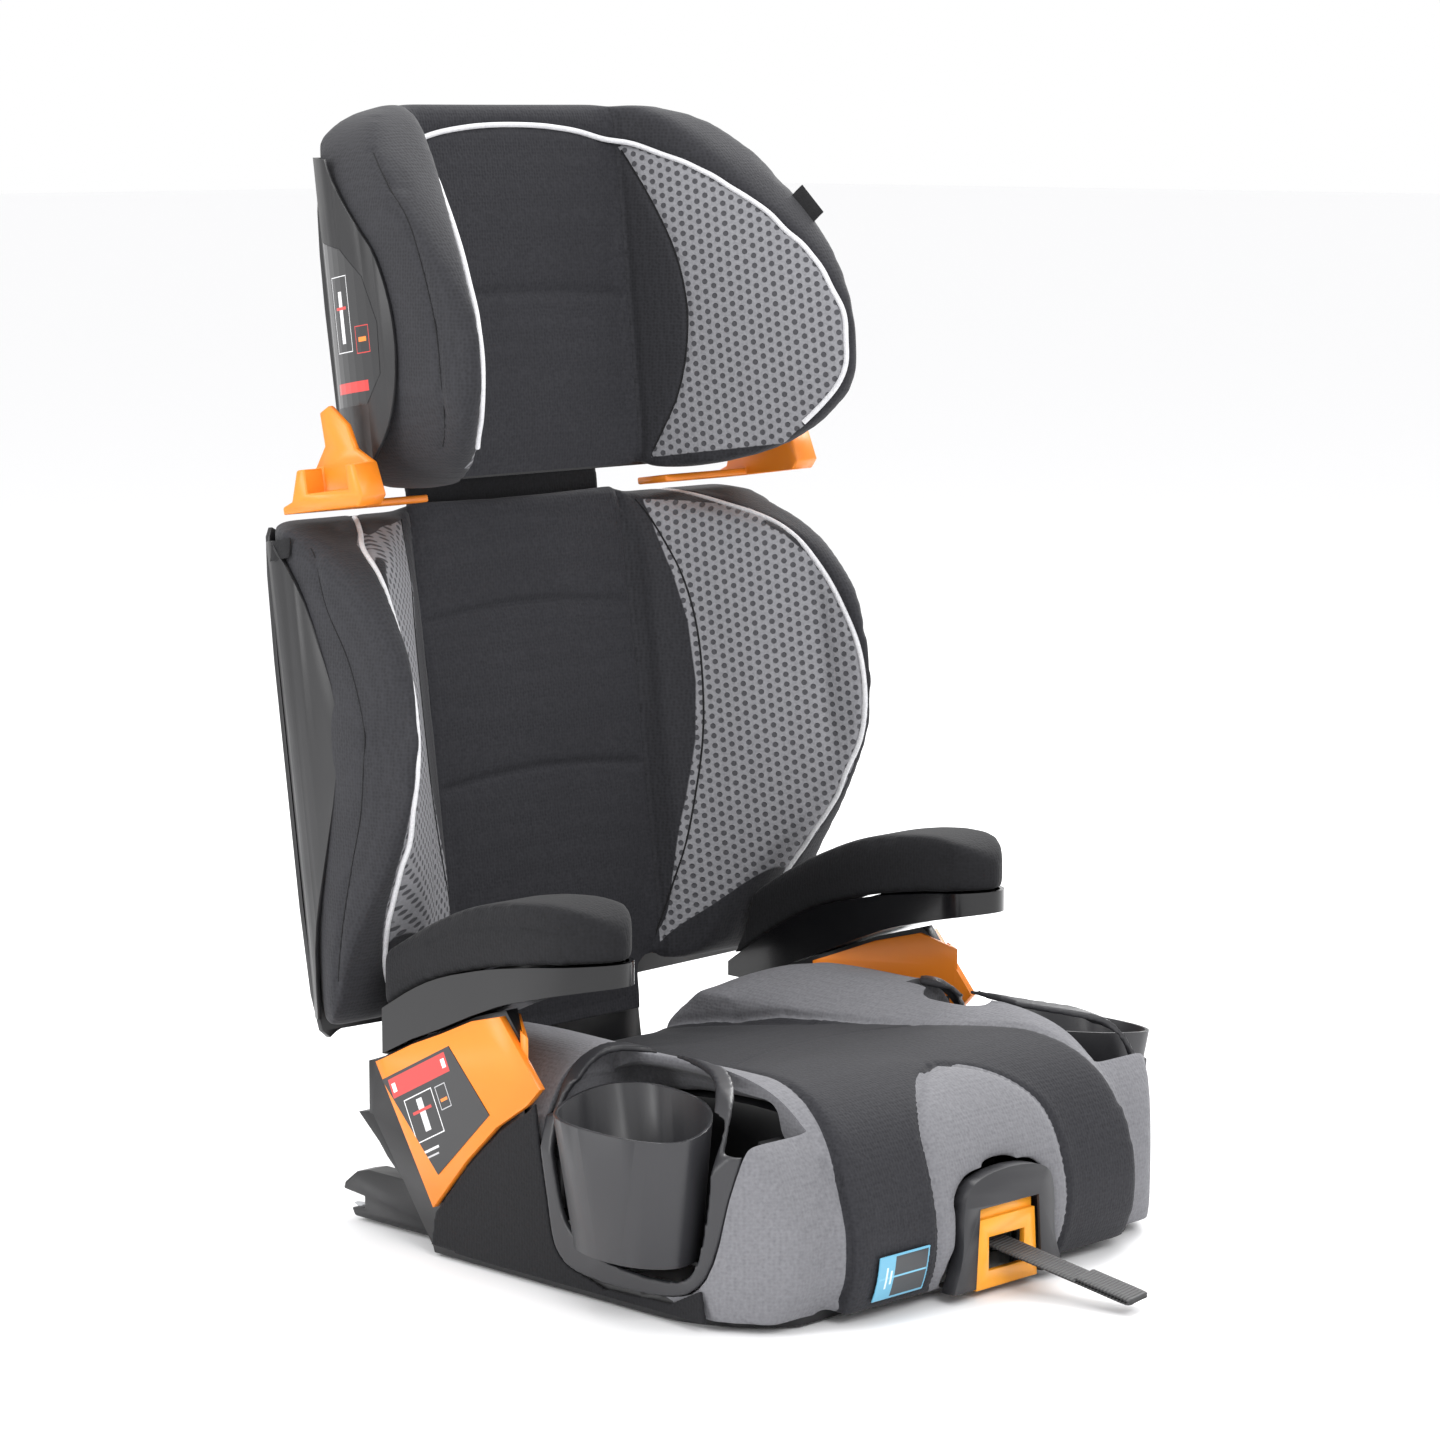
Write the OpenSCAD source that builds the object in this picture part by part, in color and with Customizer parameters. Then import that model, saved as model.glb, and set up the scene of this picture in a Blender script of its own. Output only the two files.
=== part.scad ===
// High-back booster seat: a moulded base with padded seat, armrests, swing-out cup holders
// and pull-out anchor connectors, and a leaning backrest with a height-adjustable headrest.
// +X is the right side, the seat faces -Y, +Z is up. The origin is the underside of the base.

/* [Base] */
// Width of the base across its side skirts
seat_w = 410; // [370:5:492]
// Wall of the moulded base shell
shell_wall = 4; // [3:0.5:5]
// Height of the moulded base shell at its crown
shell_crown = 118; // [104:1:122]
// Thickness of the fabric side skirts
skirt_t = 3; // [2:0.5:4]
// Radius of the rubber feet
foot_r = 11; // [8:1:14]

/* [Armrests] */
// Width of each armrest
arm_w = 56; // [46:1:62]
// Wall of the glossy armrest tray
tray_wall = 3; // [2:0.5:4]
// Thickness of the orange lap belt guides
guide_t = 3; // [2:0.5:4]

/* [Cup holders] */
// Depth of a cup holder below its rim
cup_depth = 84; // [70:1:88]
// Wall of a cup holder
cup_wall = 2.5; // [2:0.5:4]
// Radius of a cup holder's hinge pin
cup_pin_r = 2.5; // [2:0.1:3]

/* [Front release] */
// Width of the pull strap
strap_w = 25; // [20:1:30]
// Thickness of the webbing
strap_t = 2.2; // [1.6:0.2:3]
// Length of strap that hangs out of the release tab
strap_out = 104; // [85:1:125]
// Radius of the release tab's pin
tab_pin_r = 2; // [1.5:0.1:2.5]

/* [Anchor connectors] */
// Thickness of an anchor connector
latch_t = 18; // [14:1:22]
// Height of an anchor connector
latch_h = 34; // [28:1:36]

/* [Backrest] */
// Lean of the backrest from upright, in degrees
lean = 8; // [6:0.5:10]
// Height of the backrest wings above the recline bar
back_h = 424; // [353:1:509]
// Radius of the steel bar that the backrest hooks on to
bar_r = 5; // [4:0.5:6]
// Width of the backrest's centre pad
pad_w = 194; // [170:2:210]

/* [Headrest] */
// Height of the headrest, from its wing tips' lower edge to its top
head_h = 262; // [240:1:280]
// How far the headrest rises
head_travel = 120; // [60:12:132]
// Pitch of the height notches
notch_pitch = 12; // [10:1:15]
// Width of the headrest's stem
stem_w = 80; // [66:2:90]
// Thickness of the headrest's stem
stem_t = 8; // [6:1:9]

/* [Hidden] */
$fn = 48;

gap = 0.4;                      // clearance between neighbours that are not a fit
run = 0.05;                     // radial clearance of a running fit
hw = seat_w / 2;                // half the width of the base
shell_x = hw - skirt_t - gap;   // side face of the moulded shell

// ---- curves -------------------------------------------------------------------------------

// One point of a smooth curve through p, between p[i] and p[i + 1]
function wrap(p, i) = p[(i + len(p)) % len(p)];
function clampi(p, i) = p[max(0, min(len(p) - 1, i))];
function smooth(a, b, c, d, t) =
    0.5 * (2 * b + (c - a) * t + (2 * a - 5 * b + 4 * c - d) * t * t + (3 * b - a - 3 * c + d) * t * t * t);
// Closed and open smooth curves through hand-chosen points, n steps between two of them
function ring(p, n = 4) = [for (i = [0:len(p) - 1]) for (k = [0:n - 1])
    smooth(wrap(p, i - 1), wrap(p, i), wrap(p, i + 1), wrap(p, i + 2), k / n)];
function curve(p, n = 4) = [for (i = [0:len(p) - 2]) for (k = [0:(i == len(p) - 2 ? n : n - 1)])
    smooth(clampi(p, i - 1), clampi(p, i), clampi(p, i + 1), clampi(p, i + 2), k / n)];
function flipped(p) = [for (i = [len(p) - 1:-1:0]) p[i]];
function shifted(p, d) = [for (q = p) q + d];
function mirrored(p) = [for (i = [len(p) - 1:-1:0]) [-p[i][0], p[i][1]]];
function unit(v) = v / norm(v);
// Outline without a point that repeats the one before it
function distinct(p) = [for (i = [0:len(p) - 1]) if (norm(p[i] - wrap(p, i - 1)) > 0.01) p[i]];
function turn(p) = sign([for (i = [0:len(p) - 1]) cross(wrap(p, i - 1), p[i])] * [for (q = p) 1]);
// Closed outline moved inwards by d
function inset(outline, d) = let (p = distinct(outline), d = d * turn(p)) [for (i = [0:len(p) - 1])
    let (a = unit(p[i] - wrap(p, i - 1)), b = unit(wrap(p, i + 1) - p[i]),
         m = unit([-a[1] - b[1], a[0] + b[0]]), c = max(0.5, -a[1] * m[0] + a[0] * m[1]))
    p[i] + m * d / c];

// ---- prisms -------------------------------------------------------------------------------

// Outline [y, z] extruded along X
module side_prism(outline, x0, x1) {
    translate([x0, 0, 0]) rotate([90, 0, 90]) linear_extrude(x1 - x0) polygon(outline);
}
// Outline [x, y] extruded along Z
module plan_prism(outline, z0, z1) {
    translate([0, 0, z0]) linear_extrude(z1 - z0) polygon(outline);
}
// Outline [x, z] extruded along Y
module front_prism(outline, y0, y1) {
    translate([0, y1, 0]) rotate([90, 0, 0]) linear_extrude(y1 - y0) polygon(outline);
}
module block(x, y, z) {
    translate([x[0], y[0], z[0]]) cube([x[1] - x[0], y[1] - y[0], z[1] - z[0]]);
}
module rod_x(r, x0, x1) {
    translate([x0, 0, 0]) rotate([0, 90, 0]) cylinder(r = r, h = x1 - x0);
}
// Modules below draw the right-hand piece; the left-hand one is its mirror image
module left_hand() mirror([1, 0, 0]) children();

// ---- base outlines ------------------------------------------------------------------------

seat_under = 5;                 // lowest edge of the seat's fabric
rear_y = 176;                   // rear edge of the seat pad
nose_y = -213;                  // front of the seat on the centre line

// Seat's centre line from the rear edge over the crown and down the front
centre_top = curve([[rear_y, 98], [112, 108], [49, 119], [-46, 133], [-110, 140], [-150, 138],
    [-182, 122], [-202, 94], [nose_y, 56], [-211, 28], [-202, seat_under]]);
// Top and front of the moulded shell below it
core_line = curve([[rear_y + 8, 82], [112, shell_crown - 24], [49, shell_crown - 15],
    [-46, shell_crown - 2], [-110, shell_crown], [-145, shell_crown - 6], [-176, 92], [-188, 60],
    [-187, 30], [-182, 2]]);
core_side = flipped(concat(core_line, [[104, 2], [112, 26], [160, 66]]));
// Fabric ends inside the shell at the rear
fabric_end = [[60, seat_under], [100, 40], [rear_y, 86]];
seat_side = concat(centre_top, fabric_end);
// Bolster's ridge beside it, higher and shorter
bolster_top = curve([[rear_y, 104], [140, 134], [90, 149], [20, 152], [-60, 150], [-110, 146],
    [-146, 137], [-174, 115], [-190, 86], [-197, 56], [-195, 28], [-186, seat_under]]);
bolster_side = concat(bolster_top, fabric_end);

// Half width of the dark centre panel from the rear to the front, as [x, y]
panel_edge = curve([[74, rear_y + 20], [84, 60], [92, -43], [106, -103], [123, -158], [134, -194],
    [142, -230]]);
// Plan of the whole seat with its rounded front corners, right half
plan_half = concat([[0, -230], [60, -222]], curve([[110, -214], [hw - 45, -200], [hw - 14, -172],
    [hw + 3, -132], [hw + 5, -90], [hw, -30], [hw, 60]]), [[hw, rear_y + 20], [0, rear_y + 20]]);
core_plan_half = concat([[0, -230], [100, -200]], curve([[hw - 60, -188], [hw - 28, -166],
    [shell_x - 4, -130], [shell_x, -90], [shell_x, -30]]), [[shell_x, 220], [0, 220]]);
// Cross section of a bolster: rises from the panel, crowns, and turns down over the side
bolster_section = concat([[40, 0], [40, 130], [88, 130]], curve([[104, 137], [124, 145],
    [hw - 62, 150], [hw - 42, 146], [hw - 22, 132], [hw - 8, 110], [hw + 1, 84], [hw + 4, 50],
    [hw + 1, 20], [hw - 4, 0]]));

// Cross section of the moulded shell, its shoulders below the bolsters' fabric
core_half = [[hw - 62, 142], [hw - 44, 136], [hw - 28, 122], [hw - 16, 102],
    [hw - 8, 84], [shell_x, 58], [shell_x, -20]];

// Front face of the arm's column, in plan: from the outer corner back to the inner one
col_in = hw - 53;
col_front_out = [shell_x, 16];
col_front_in = [col_in, 96];
col_plan = [col_front_in, [col_in + 12, 78], col_front_out, [shell_x, 168], [col_in, 189]];
col_side = [[104, 4], [164, 84], [186, 88], [182, 117], [160, 121.5], [147, 128], [118, 142],
    [90, 153], [60, 166], [33, 174], [-5, 129], [-5, 20]];

// ---- cup holder pocket --------------------------------------------------------------------

cup_rim_z = 124;                // rim height on the outer side
cup_tilt = 4;                   // rim rises towards the seat's middle
cup_pin = [hw - 13, -8];        // hinge pin, in plan
cup_foot_z = cup_rim_z - cup_depth;
cup_hinge_z = [52, 84];         // span of the hinge's boss on the cup holder
// Rim outline in plan, right hand, from the pointed rear outer corner inwards
cup_rim = ring([for (q = [[21, -37], [-14, -17], [-50, -16], [-65, -46], [-53, -98], [-18, -137],
    [16, -147], [32, -122], [33, -72]]) [hw + q[0], q[1]]]);
cup_foot = ring([for (q = [[14, -48], [-14, -40], [-42, -42], [-54, -62], [-46, -98], [-16, -128],
    [10, -133], [26, -112], [27, -76]]) [hw + q[0], q[1]]]);
bezel_out = ring([[2, 132], [-8, 60], [-20, 24], [-60, 15], [-120, 18], [-148, 34], [-162, 84],
    [-170, 122], [-168, 160], [-90, 170], [-18, 162]], 4);
bezel_in = ring([[-9, 122], [-19, 66], [-33, 41], [-66, 30], [-114, 28], [-141, 38], [-151, 86],
    [-151.5, 110], [-151, 123], [-144, 131], [-110, 137], [-60, 139], [-22, 137]], 4);
pocket_roof = 132.5;            // underside of the seat over the folded cup holder
pocket_x = hw - 96;             // innermost reach of the pocket

module bezel_room() {
    intersection() {
        side_prism(bezel_out, hw - 90, hw + 20);
        union() {
            plan_prism(inset(cup_rim, -13 - gap), 60, 260);
            block([hw - 26 - gap, hw + 20], [-200, 20], [0, 112]);
        }
    }
}
module cup_pocket() {
    // room behind the bezel for the cup holder in both positions
    block([pocket_x, hw + 20], [-146, 5], [cup_foot_z - 6, pocket_roof]);
    block([hw - 50, hw + 20], [-156, 5], [cup_foot_z - 6, pocket_roof]);
    bezel_room();
}
module both_sides() {
    children();
    left_hand() children();
}

// ---- base pieces --------------------------------------------------------------------------

bar_at = [0, 212, 48];          // axis of the recline bar
ear_x = [30, 76];               // the ears that carry the bar, from the centre line outwards
ear_t = 8;                      // thickness of an ear
dock_x = hw - 33;               // centre line of an anchor connector
latch_z = 3;                    // underside of a connector
foot_x = hw - 62;               // places of the rubber feet
foot_at = [[foot_x, -166], [foot_x, 78], [60, 178]];
screw_x = 40;                   // screws that hold the seat's trim to the shell
screw_y = [82, 122];
screw_r = 1.8;
tab_z = 53;                     // height of the release tab's pin
tab_y = -199;                   // its place in depth
strap_at = [0, -206, 31];       // where the strap leaves the tab
strap_dip = 13;                 // strap's downward angle
strap_yaw = 11;                 // and its sideways one

module core(cut = 0) {
    side = inset(core_side, cut);
    intersection() {
        // the hollow runs out through the underside
        side_prism([for (q = side) cut > 0 && q[1] < 8 ? [q[0], -5] : q], -hw - 1, hw + 1);
        plan_prism(inset(concat(core_plan_half, mirrored(core_plan_half)), cut), -20, 260);
        front_prism(inset(concat(core_half, mirrored(core_half)), cut), -260, 260);
    }
}
module along_strap() {
    translate(strap_at) rotate([0, 0, strap_yaw]) rotate([strap_dip, 0, 0]) children();
}
module dock(grow, y0, y1, top) {
    block([dock_x - latch_t / 2 - grow, dock_x + latch_t / 2 + grow], [y0, y1], [-1, top]);
}
module base_moulding() {
    difference() {
        core();
        difference() {
            core(shell_wall);
            block([-26, 4], [-152, -138], [55, 140]);
            // ribs, the walls of the cup holder pockets and of the connector docks
            for (x = [-62, 62]) block([x - 1.5, x + 1.5], [-150, 178], [2, 140]);
            for (y = [62, 137]) block([-hw, hw], [y, y + 3], [46, 140]);
            both_sides() {
                block([pocket_x - 3, hw], [-161, 8], [cup_foot_z - 9, 140]);
                dock(5, 24, 190, latch_z + latch_h + 8);
                for (p = foot_at) translate([p[0], p[1], 2]) cylinder(r = foot_r, h = 160);
                for (y = screw_y) translate([screw_x, y, 26]) cylinder(r = 6, h = 120);
            }
        }
    }
    // skid that carries the resting face of the underside, and its cross web
    block([-14, 14], [-60, 60], [0, 60]);
    block([-64, 64], [-8, 8], [2, 60]);
    both_sides() {
        intersection() {
            side_prism(col_side, 0, shell_x);
            plan_prism(col_plan, 0, 260);
        }
        // heel that carries the rear foot
        block([48, 73], [150, 190], [2, 70]);
        for (x = ear_x) {
            side_prism([[164, 30], [bar_at[1], bar_at[2] - bar_r - 6],
                [bar_at[1], bar_at[2] + bar_r + 6], [164, 72]], x, x + ear_t);
            translate([0, bar_at[1], bar_at[2]]) rod_x(bar_r + 6, x, x + ear_t);
        }
    }
}
module base_shell() {
    color("#232426") difference() {
        union() {
            difference() {
                base_moulding();
                both_sides() {
                    cup_pocket();
                    dock(1.2, -30, 260, latch_z + latch_h + 5);
                }
                // openings for the release tab and for its strap
                block([-43, 43], [-240, -150], [-1, 84]);
                block([-46, 40], [-240, -62], [4, 76]);
            }
            // brackets above and below each cup holder's hinge
            both_sides() for (z = [[cup_hinge_z[0] - 8, cup_hinge_z[0] - gap],
                    [cup_hinge_z[1] + gap, cup_hinge_z[1] + 8]])
                union() {
                    block([cup_pin[0] - 8, cup_pin[0] + 5], [cup_pin[1] - 7, 5], z);
                    block([cup_pin[0] - 8, cup_pin[0]], [cup_pin[1], 6], z);
                }
        }
        translate(bar_at) rod_x(bar_r, -hw, hw);
        both_sides() {
            translate([cup_pin[0], cup_pin[1], 0]) cylinder(r = cup_pin_r, h = 160);
            for (p = foot_at) translate([p[0], p[1], 1]) cylinder(r = foot_r - 4, h = 7);
            for (y = screw_y) translate([screw_x, y, 20]) cylinder(r = screw_r + run, h = 21);
        }
    }
}
module base_feet() {
    color("#1a1a1a") both_sides() for (p = foot_at) translate([p[0], p[1], 0]) {
        cylinder(r = foot_r, h = 2);
        translate([0, 0, 2]) cylinder(r = foot_r - 4, h = 6);
    }
}
// Outline of a fabric side skirt
skirt_side = [[104, 8], [100, 30], [66, 68], [37, 95], [8, 114], [-5, 127], [-5, 100], [-13, 60],
    [-25, 20], [-60, 11], [-120, 14], [-146, 27], [-150, 6], [60, 5]];
// What the fabric pieces wrap: the moulded shell with its columns, and the pockets in it
module fabric_clear() {
    core(-gap);
    both_sides() {
        cup_pocket();
        bezel_room();
        plan_prism(inset(flipped(col_plan), -guide_t - 2 * gap), 0, 260);
        block([hw - skirt_t - gap, hw + 30], [-40, 260], [0, 260]);
        side_prism(inset(skirt_side, -gap), hw - skirt_t - gap, hw + 30);
        block([col_in - guide_t - 1, hw + 30], [100, 260], [0, 260]);
    }
}
module panel_plan(grow) {
    edge = [for (q = panel_edge) [q[0] + grow, q[1]]];
    plan_prism(concat(edge, mirrored(edge)), -10, 260);
}
module seat_pad() {
    color("#3a3a3f") difference() {
        intersection() {
            side_prism(seat_side, -160, 160);
            panel_plan(0);
        }
        fabric_clear();
        bib_body(gap);
    }
}
// Outer form of a bolster, grown by d
module bolster_volume(d) {
    intersection() {
        side_prism(inset(bolster_side, -d), 0, hw + 20);
        plan_prism(inset(plan_half, -d), seat_under, 260);
        front_prism(inset(bolster_section, -d), -260, 260);
    }
}
module thigh_bolster() {
    color("#8f8f93") difference() {
        bolster_volume(0);
        panel_plan(gap);
        fabric_clear();
    }
}
module thigh_bolster_left() left_hand() thigh_bolster();
module thigh_bolster_right() thigh_bolster();

bib_half = concat([[0, 8], [59, 8]], curve([[59, 8], [62, 50], [60, 98], [50, 118], [30, 131],
    [0, 137]]));
module bib_body(grow) {
    intersection() {
        front_prism(inset(concat(bib_half, mirrored(bib_half)), -grow), -240, -150);
        side_prism(inset(seat_side, -2.5 - grow), -90, 90);
        block([-90, 90], [-240, -140], [seat_under - grow, 260]);
    }
}
module front_bib() {
    color("#96969a") difference() {
        bib_body(0);
        core(-gap);
        side_prism(inset(seat_side, 7), -90, 90);
        front_prism(inset(concat(bezel_half, mirrored(bezel_half)), -gap), -240, -150);
    }
}
// Moulded surround of the release tab
bezel_half = concat([[0, 7], [52, 7]], curve([[52, 7], [44, 30], [43, 56], [38, 72], [22, 79],
    [0, 81]]));
bezel_y = [-217, -206];
module front_bezel() {
    color("#4a4b4e") difference() {
        union() {
            front_prism(concat(bezel_half, mirrored(bezel_half)), bezel_y[0], bezel_y[1]);
            // lugs that hold the tab's pin, and arms that screw to the shell
            both_sides() {
                block([33, 38], [bezel_y[1] - 1, tab_y + 5], [tab_z - 6, tab_z + 6]);
                block([38, 42.5], [bezel_y[1] - 1, -176], [40, 60]);
            }
        }
        front_prism([[-32, 0], [32, 0], [28, tab_z + 5], [-28, tab_z + 5]], -240, bezel_y[0] + 2);
        block([-31, 31], [bezel_y[0] + 1.9, -160], [-1, tab_z + 8]);
        translate([0, tab_y, tab_z]) rod_x(tab_pin_r, -45, 45);
    }
}
module tab_pin() {
    color("#b9bcc0") translate([0, tab_y, tab_z]) rod_x(tab_pin_r, -38, 38);
}
module release_tab() {
    color("#fba628") difference() {
        union() {
            front_prism([[-29, 5], [29, 5], [26, tab_z - 3], [-26, tab_z - 3]], -215, -211);
            block([-26, 26], [-212, tab_y], [tab_z - 4, tab_z + 3.6]);
            translate([0, tab_y, tab_z]) rod_x(4, -29, 29);
        }
        // slot for the strap
        block([-strap_w / 2 - 5, strap_w / 2 + 4], [-230, -206], [strap_at[2] - 15, strap_at[2] + 7]);
        translate([0, tab_y, tab_z]) rod_x(tab_pin_r + run, -45, 45);
    }
}
strap_in = 125;                 // strap behind the tab
module pull_strap() {
    color("#1c1c1d") along_strap() {
        block([-strap_w / 2, strap_w / 2], [-strap_out, strap_in], [-strap_t / 2, strap_t / 2]);
        block([-strap_w / 2, strap_w / 2], [-strap_out, -strap_out + 40],
            [strap_t / 2, strap_t * 1.5]);
    }
}
module strap_adjuster() {
    color("#9a9da1") along_strap() difference() {
        block([-strap_w / 2 - 5, strap_w / 2 + 5], [52, 74], [-6, 6]);
        block([-strap_w / 2 - 1, strap_w / 2 + 1], [40, 90], [-strap_t / 2 - gap, strap_t / 2 + gap]);
    }
}
module seat_patch() {
    color("#7cc4dc") intersection() {
        block([-118, -72], [-240, -150], [14, 44]);
        side_prism(inset(seat_side, -1.6), -118, -72);
        difference() {
            block([-118, -72], [-240, -150], [14, 44]);
            side_prism(inset(seat_side, -gap), -160, 160);
        }
    }
}
// ---- sides of the base --------------------------------------------------------------------

module side_skirt() {
    color("#232325") difference() {
        side_prism(skirt_side, hw - skirt_t, hw);
        side_prism(inset(bezel_out, -gap), hw - 66, hw + 20);
    }
}
module side_skirt_left() left_hand() side_skirt();
module side_skirt_right() side_skirt();

// Shoulder-shaped band of the bezel
module cup_bezel() {
    color("#4a4b4e") difference() {
        intersection() {
            side_prism(inset(bezel_out, gap), hw - 66, hw + 20);
            // on top it follows the cup holder's rim
            union() {
                plan_prism(inset(cup_rim, -13), 70, 260);
                block([hw - 26, hw + 20], [-200, 20], [0, 112]);
            }
            difference() {
                bolster_volume(1.5);
                bolster_volume(-3);
            }
        }
        intersection() {
            side_prism(bezel_in, hw - 80, hw + 30);
            block([0, hw + 30], [-200, 20], [0, 132.5]);
        }
        plan_prism(inset(cup_rim, -1.5), 60, 260);
        core(-gap);
    }
}
module cup_bezel_left() left_hand() cup_bezel();
module cup_bezel_right() cup_bezel();

// Cup holder: a tapered vessel with a pointed rear corner and a hinge boss
module cup_slab(outline, z, tilt) {
    translate([hw, 0, z]) rotate([0, tilt, 0]) translate([-hw, 0, 0]) linear_extrude(0.1)
        polygon(outline);
}
module cup() {
    color("#4a4b4e") difference() {
        union() {
            hull() {
                cup_slab(cup_rim, cup_rim_z - 0.1, cup_tilt);
                cup_slab(cup_foot, cup_foot_z, 0);
            }
            translate([cup_pin[0], cup_pin[1], cup_hinge_z[0]])
                cylinder(r = cup_pin_r + 3, h = cup_hinge_z[1] - cup_hinge_z[0]);
            block([cup_pin[0] - 2, cup_pin[0] + 2], [-46, cup_pin[1] - 1], cup_hinge_z);
        }
        hull() {
            cup_slab(inset(cup_rim, cup_wall), cup_rim_z, cup_tilt);
            cup_slab(inset(cup_foot, cup_wall), cup_foot_z + cup_wall, 0);
        }
        translate([cup_pin[0], cup_pin[1], 0]) cylinder(r = cup_pin_r + run, h = 160);
    }
}
module cup_left() left_hand() cup();
module cup_right() cup();
module cup_hinge_pins() {
    color("#b9bcc0") both_sides() translate([cup_pin[0], cup_pin[1], cup_hinge_z[0] - 8])
        cylinder(r = cup_pin_r, h = cup_hinge_z[1] - cup_hinge_z[0] + 16);
}

// ---- armrests -----------------------------------------------------------------------------

arm_in = hw + 3 - arm_w;
arm_plan = concat([[hw + 2, 148], [arm_in, 186]], curve([[arm_in, 186], [arm_in, 60], [arm_in, -18],
    [arm_in + 5, -38], [arm_in + 20, -50], [arm_in + 36, -46], [hw - 2, -26], [hw + 3, 0],
    [hw + 3, 60], [hw + 2, 148]]));
tray_top = curve([[188, 132], [146, 160], [102, 183], [55, 197], [7, 206], [-35, 211], [-60, 213]]);
tray_low = curve([[190, 110], [147, 129], [118, 143], [90, 154], [60, 167], [28, 179], [-5, 188],
    [-36, 195], [-60, 199]]);
pad_crest = curve([[186, 160], [167, 184], [129, 208], [97, 224], [60, 238], [18, 246], [-14, 248],
    [-38, 243], [-50, 232], [-54, 218], [-52, 200]]);
module arm_area() difference() {
    plan_prism(flipped(arm_plan), 60, 300);
    // leaves room for the backrest's wing behind the arm
    leaning() side_prism(inset(wing_line, -2.5), 0, hw + 40);
}
module armrest_tray() {
    color("#2a2b2f") difference() {
        intersection() {
            side_prism(flipped(concat(tray_top, flipped(tray_low))), 0, hw + 20);
            arm_area();
        }
        intersection() {
            side_prism(flipped(concat(shifted(tray_top, [0, 30]),
                flipped(shifted(tray_low, [0, tray_wall])))), 0, hw + 20);
            plan_prism(inset(flipped(arm_plan), tray_wall), 60, 300);
        }
        block([0, hw + 20], [150, 260], [0, 123]);
    }
}
module armrest_pad() {
    color("#2b2b2e") intersection() {
        side_prism(flipped(concat(pad_crest, flipped(shifted(tray_top, [0, gap])))), 0, hw + 20);
        plan_prism(inset(flipped(arm_plan), 1), 60, 300);
        arm_area();
    }
}
module armrest_tray_left() left_hand() armrest_tray();
module armrest_tray_right() armrest_tray();
module armrest_pad_left() left_hand() armrest_pad();
module armrest_pad_right() armrest_pad();

// ---- lap belt guides ----------------------------------------------------------------------

guide_side = [[155, 122], [99, 34], [66, 71], [37, 98], [8, 117], [-4, 129], [33, 170.5], [60, 163.5],
    [90, 150.5], [118, 139.5], [147, 125.5]];
module lap_guide() {
    color("#f58a1f") {
        side_prism(flipped(guide_side), shell_x + gap, hw + 2);
        // lip that turns the belt inwards along the front of the column
        intersection() {
            difference() {
                plan_prism(inset(flipped(col_plan), -guide_t), 120, 260);
                plan_prism(inset(flipped(col_plan), -gap), 0, 260);
            }
            side_prism([[150, 126], [-10, 126], [-10, 150], [33, 170], [60, 163], [90, 150],
                [118, 139]], 0, hw);
            plan_prism([[0, -20], [hw, -20], [hw, 14.5], [col_in - 4, 100], [0, 100]], 0, 260);
        }
    }
}
module lap_label() {
    color("#1b1b1c") side_prism([[148, 111], [93, 57], [43, 105], [82, 144]], hw + 2, hw + 2.6);
}
module lap_guide_left() left_hand() lap_guide();
module lap_guide_right() lap_guide();
module lap_label_left() left_hand() lap_label();
module lap_label_right() lap_label();

module recline_bar() {
    color("#b9bcc0") translate(bar_at) rod_x(bar_r, -ear_x[1] - ear_t, ear_x[1] + ear_t);
}
module base_screws() {
    color("#77797c") both_sides() for (y = screw_y) translate([screw_x, y, 22]) {
        cylinder(r = 4, h = 4);
        cylinder(r = screw_r, h = 18);
    }
}

// ---- anchor connectors --------------------------------------------------------------------

latch_y = [100, 221];           // front and rear ends of a connector
latch_mouth = [[latch_y[1] + 1, 20], [latch_y[1] - 22, 18], [latch_y[1] - 22, 10],
    [latch_y[1] + 1, 7]];
module latch() {
    color("#2e2f31") difference() {
        side_prism([[latch_y[0], latch_z + 4], [latch_y[0] + 6, latch_z], [latch_y[1] - 12, latch_z],
            [latch_y[1] - 8, latch_z + 6], [latch_y[1], latch_z + 16], [latch_y[1] - 2, latch_z + 22],
            [latch_y[1] - 14, latch_z + latch_h - 3], [latch_y[1] - 26, latch_z + latch_h],
            [latch_y[0] + 6, latch_z + latch_h], [latch_y[0], latch_z + latch_h - 5]],
            dock_x - latch_t / 2, dock_x + latch_t / 2);
        side_prism(flipped(latch_mouth), dock_x - latch_t, dock_x + latch_t);
        // room for the jaw and for the button's stem
        block([dock_x - 2, dock_x + 2], [latch_y[1] - 60, latch_y[1]], [latch_z + 2, latch_z + 26]);
        block([dock_x - 4, dock_x + 4], [120, 146], [latch_z + latch_h - 10, 60]);
        block([dock_x - 1.3, dock_x + 1.3], [latch_y[0] - 1, latch_y[0] + 8],
            [latch_z + 5, latch_z + 29]);
    }
}
module latch_jaw() {
    color("#c2c5c9") difference() {
        side_prism([[latch_y[1] - 58, latch_z + 4], [latch_y[1] - 10, latch_z + 3],
            [latch_y[1] - 3, latch_z + 6], [latch_y[1] - 3, latch_z + 12],
            [latch_y[1] - 20, latch_z + 24], [latch_y[1] - 58, latch_z + 24]],
            dock_x - 1.6, dock_x + 1.6);
        side_prism(flipped([[latch_y[1] + 1, 19], [latch_y[1] - 18, 17], [latch_y[1] - 18, 11],
            [latch_y[1] + 1, 9]]), dock_x - latch_t, dock_x + latch_t);
    }
}
module latch_button() {
    color("#c43a31") {
        block([dock_x - 3.6, dock_x + 3.6], [124, 142], [latch_z + latch_h - 6, latch_z + latch_h + 3]);
    }
}
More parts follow.
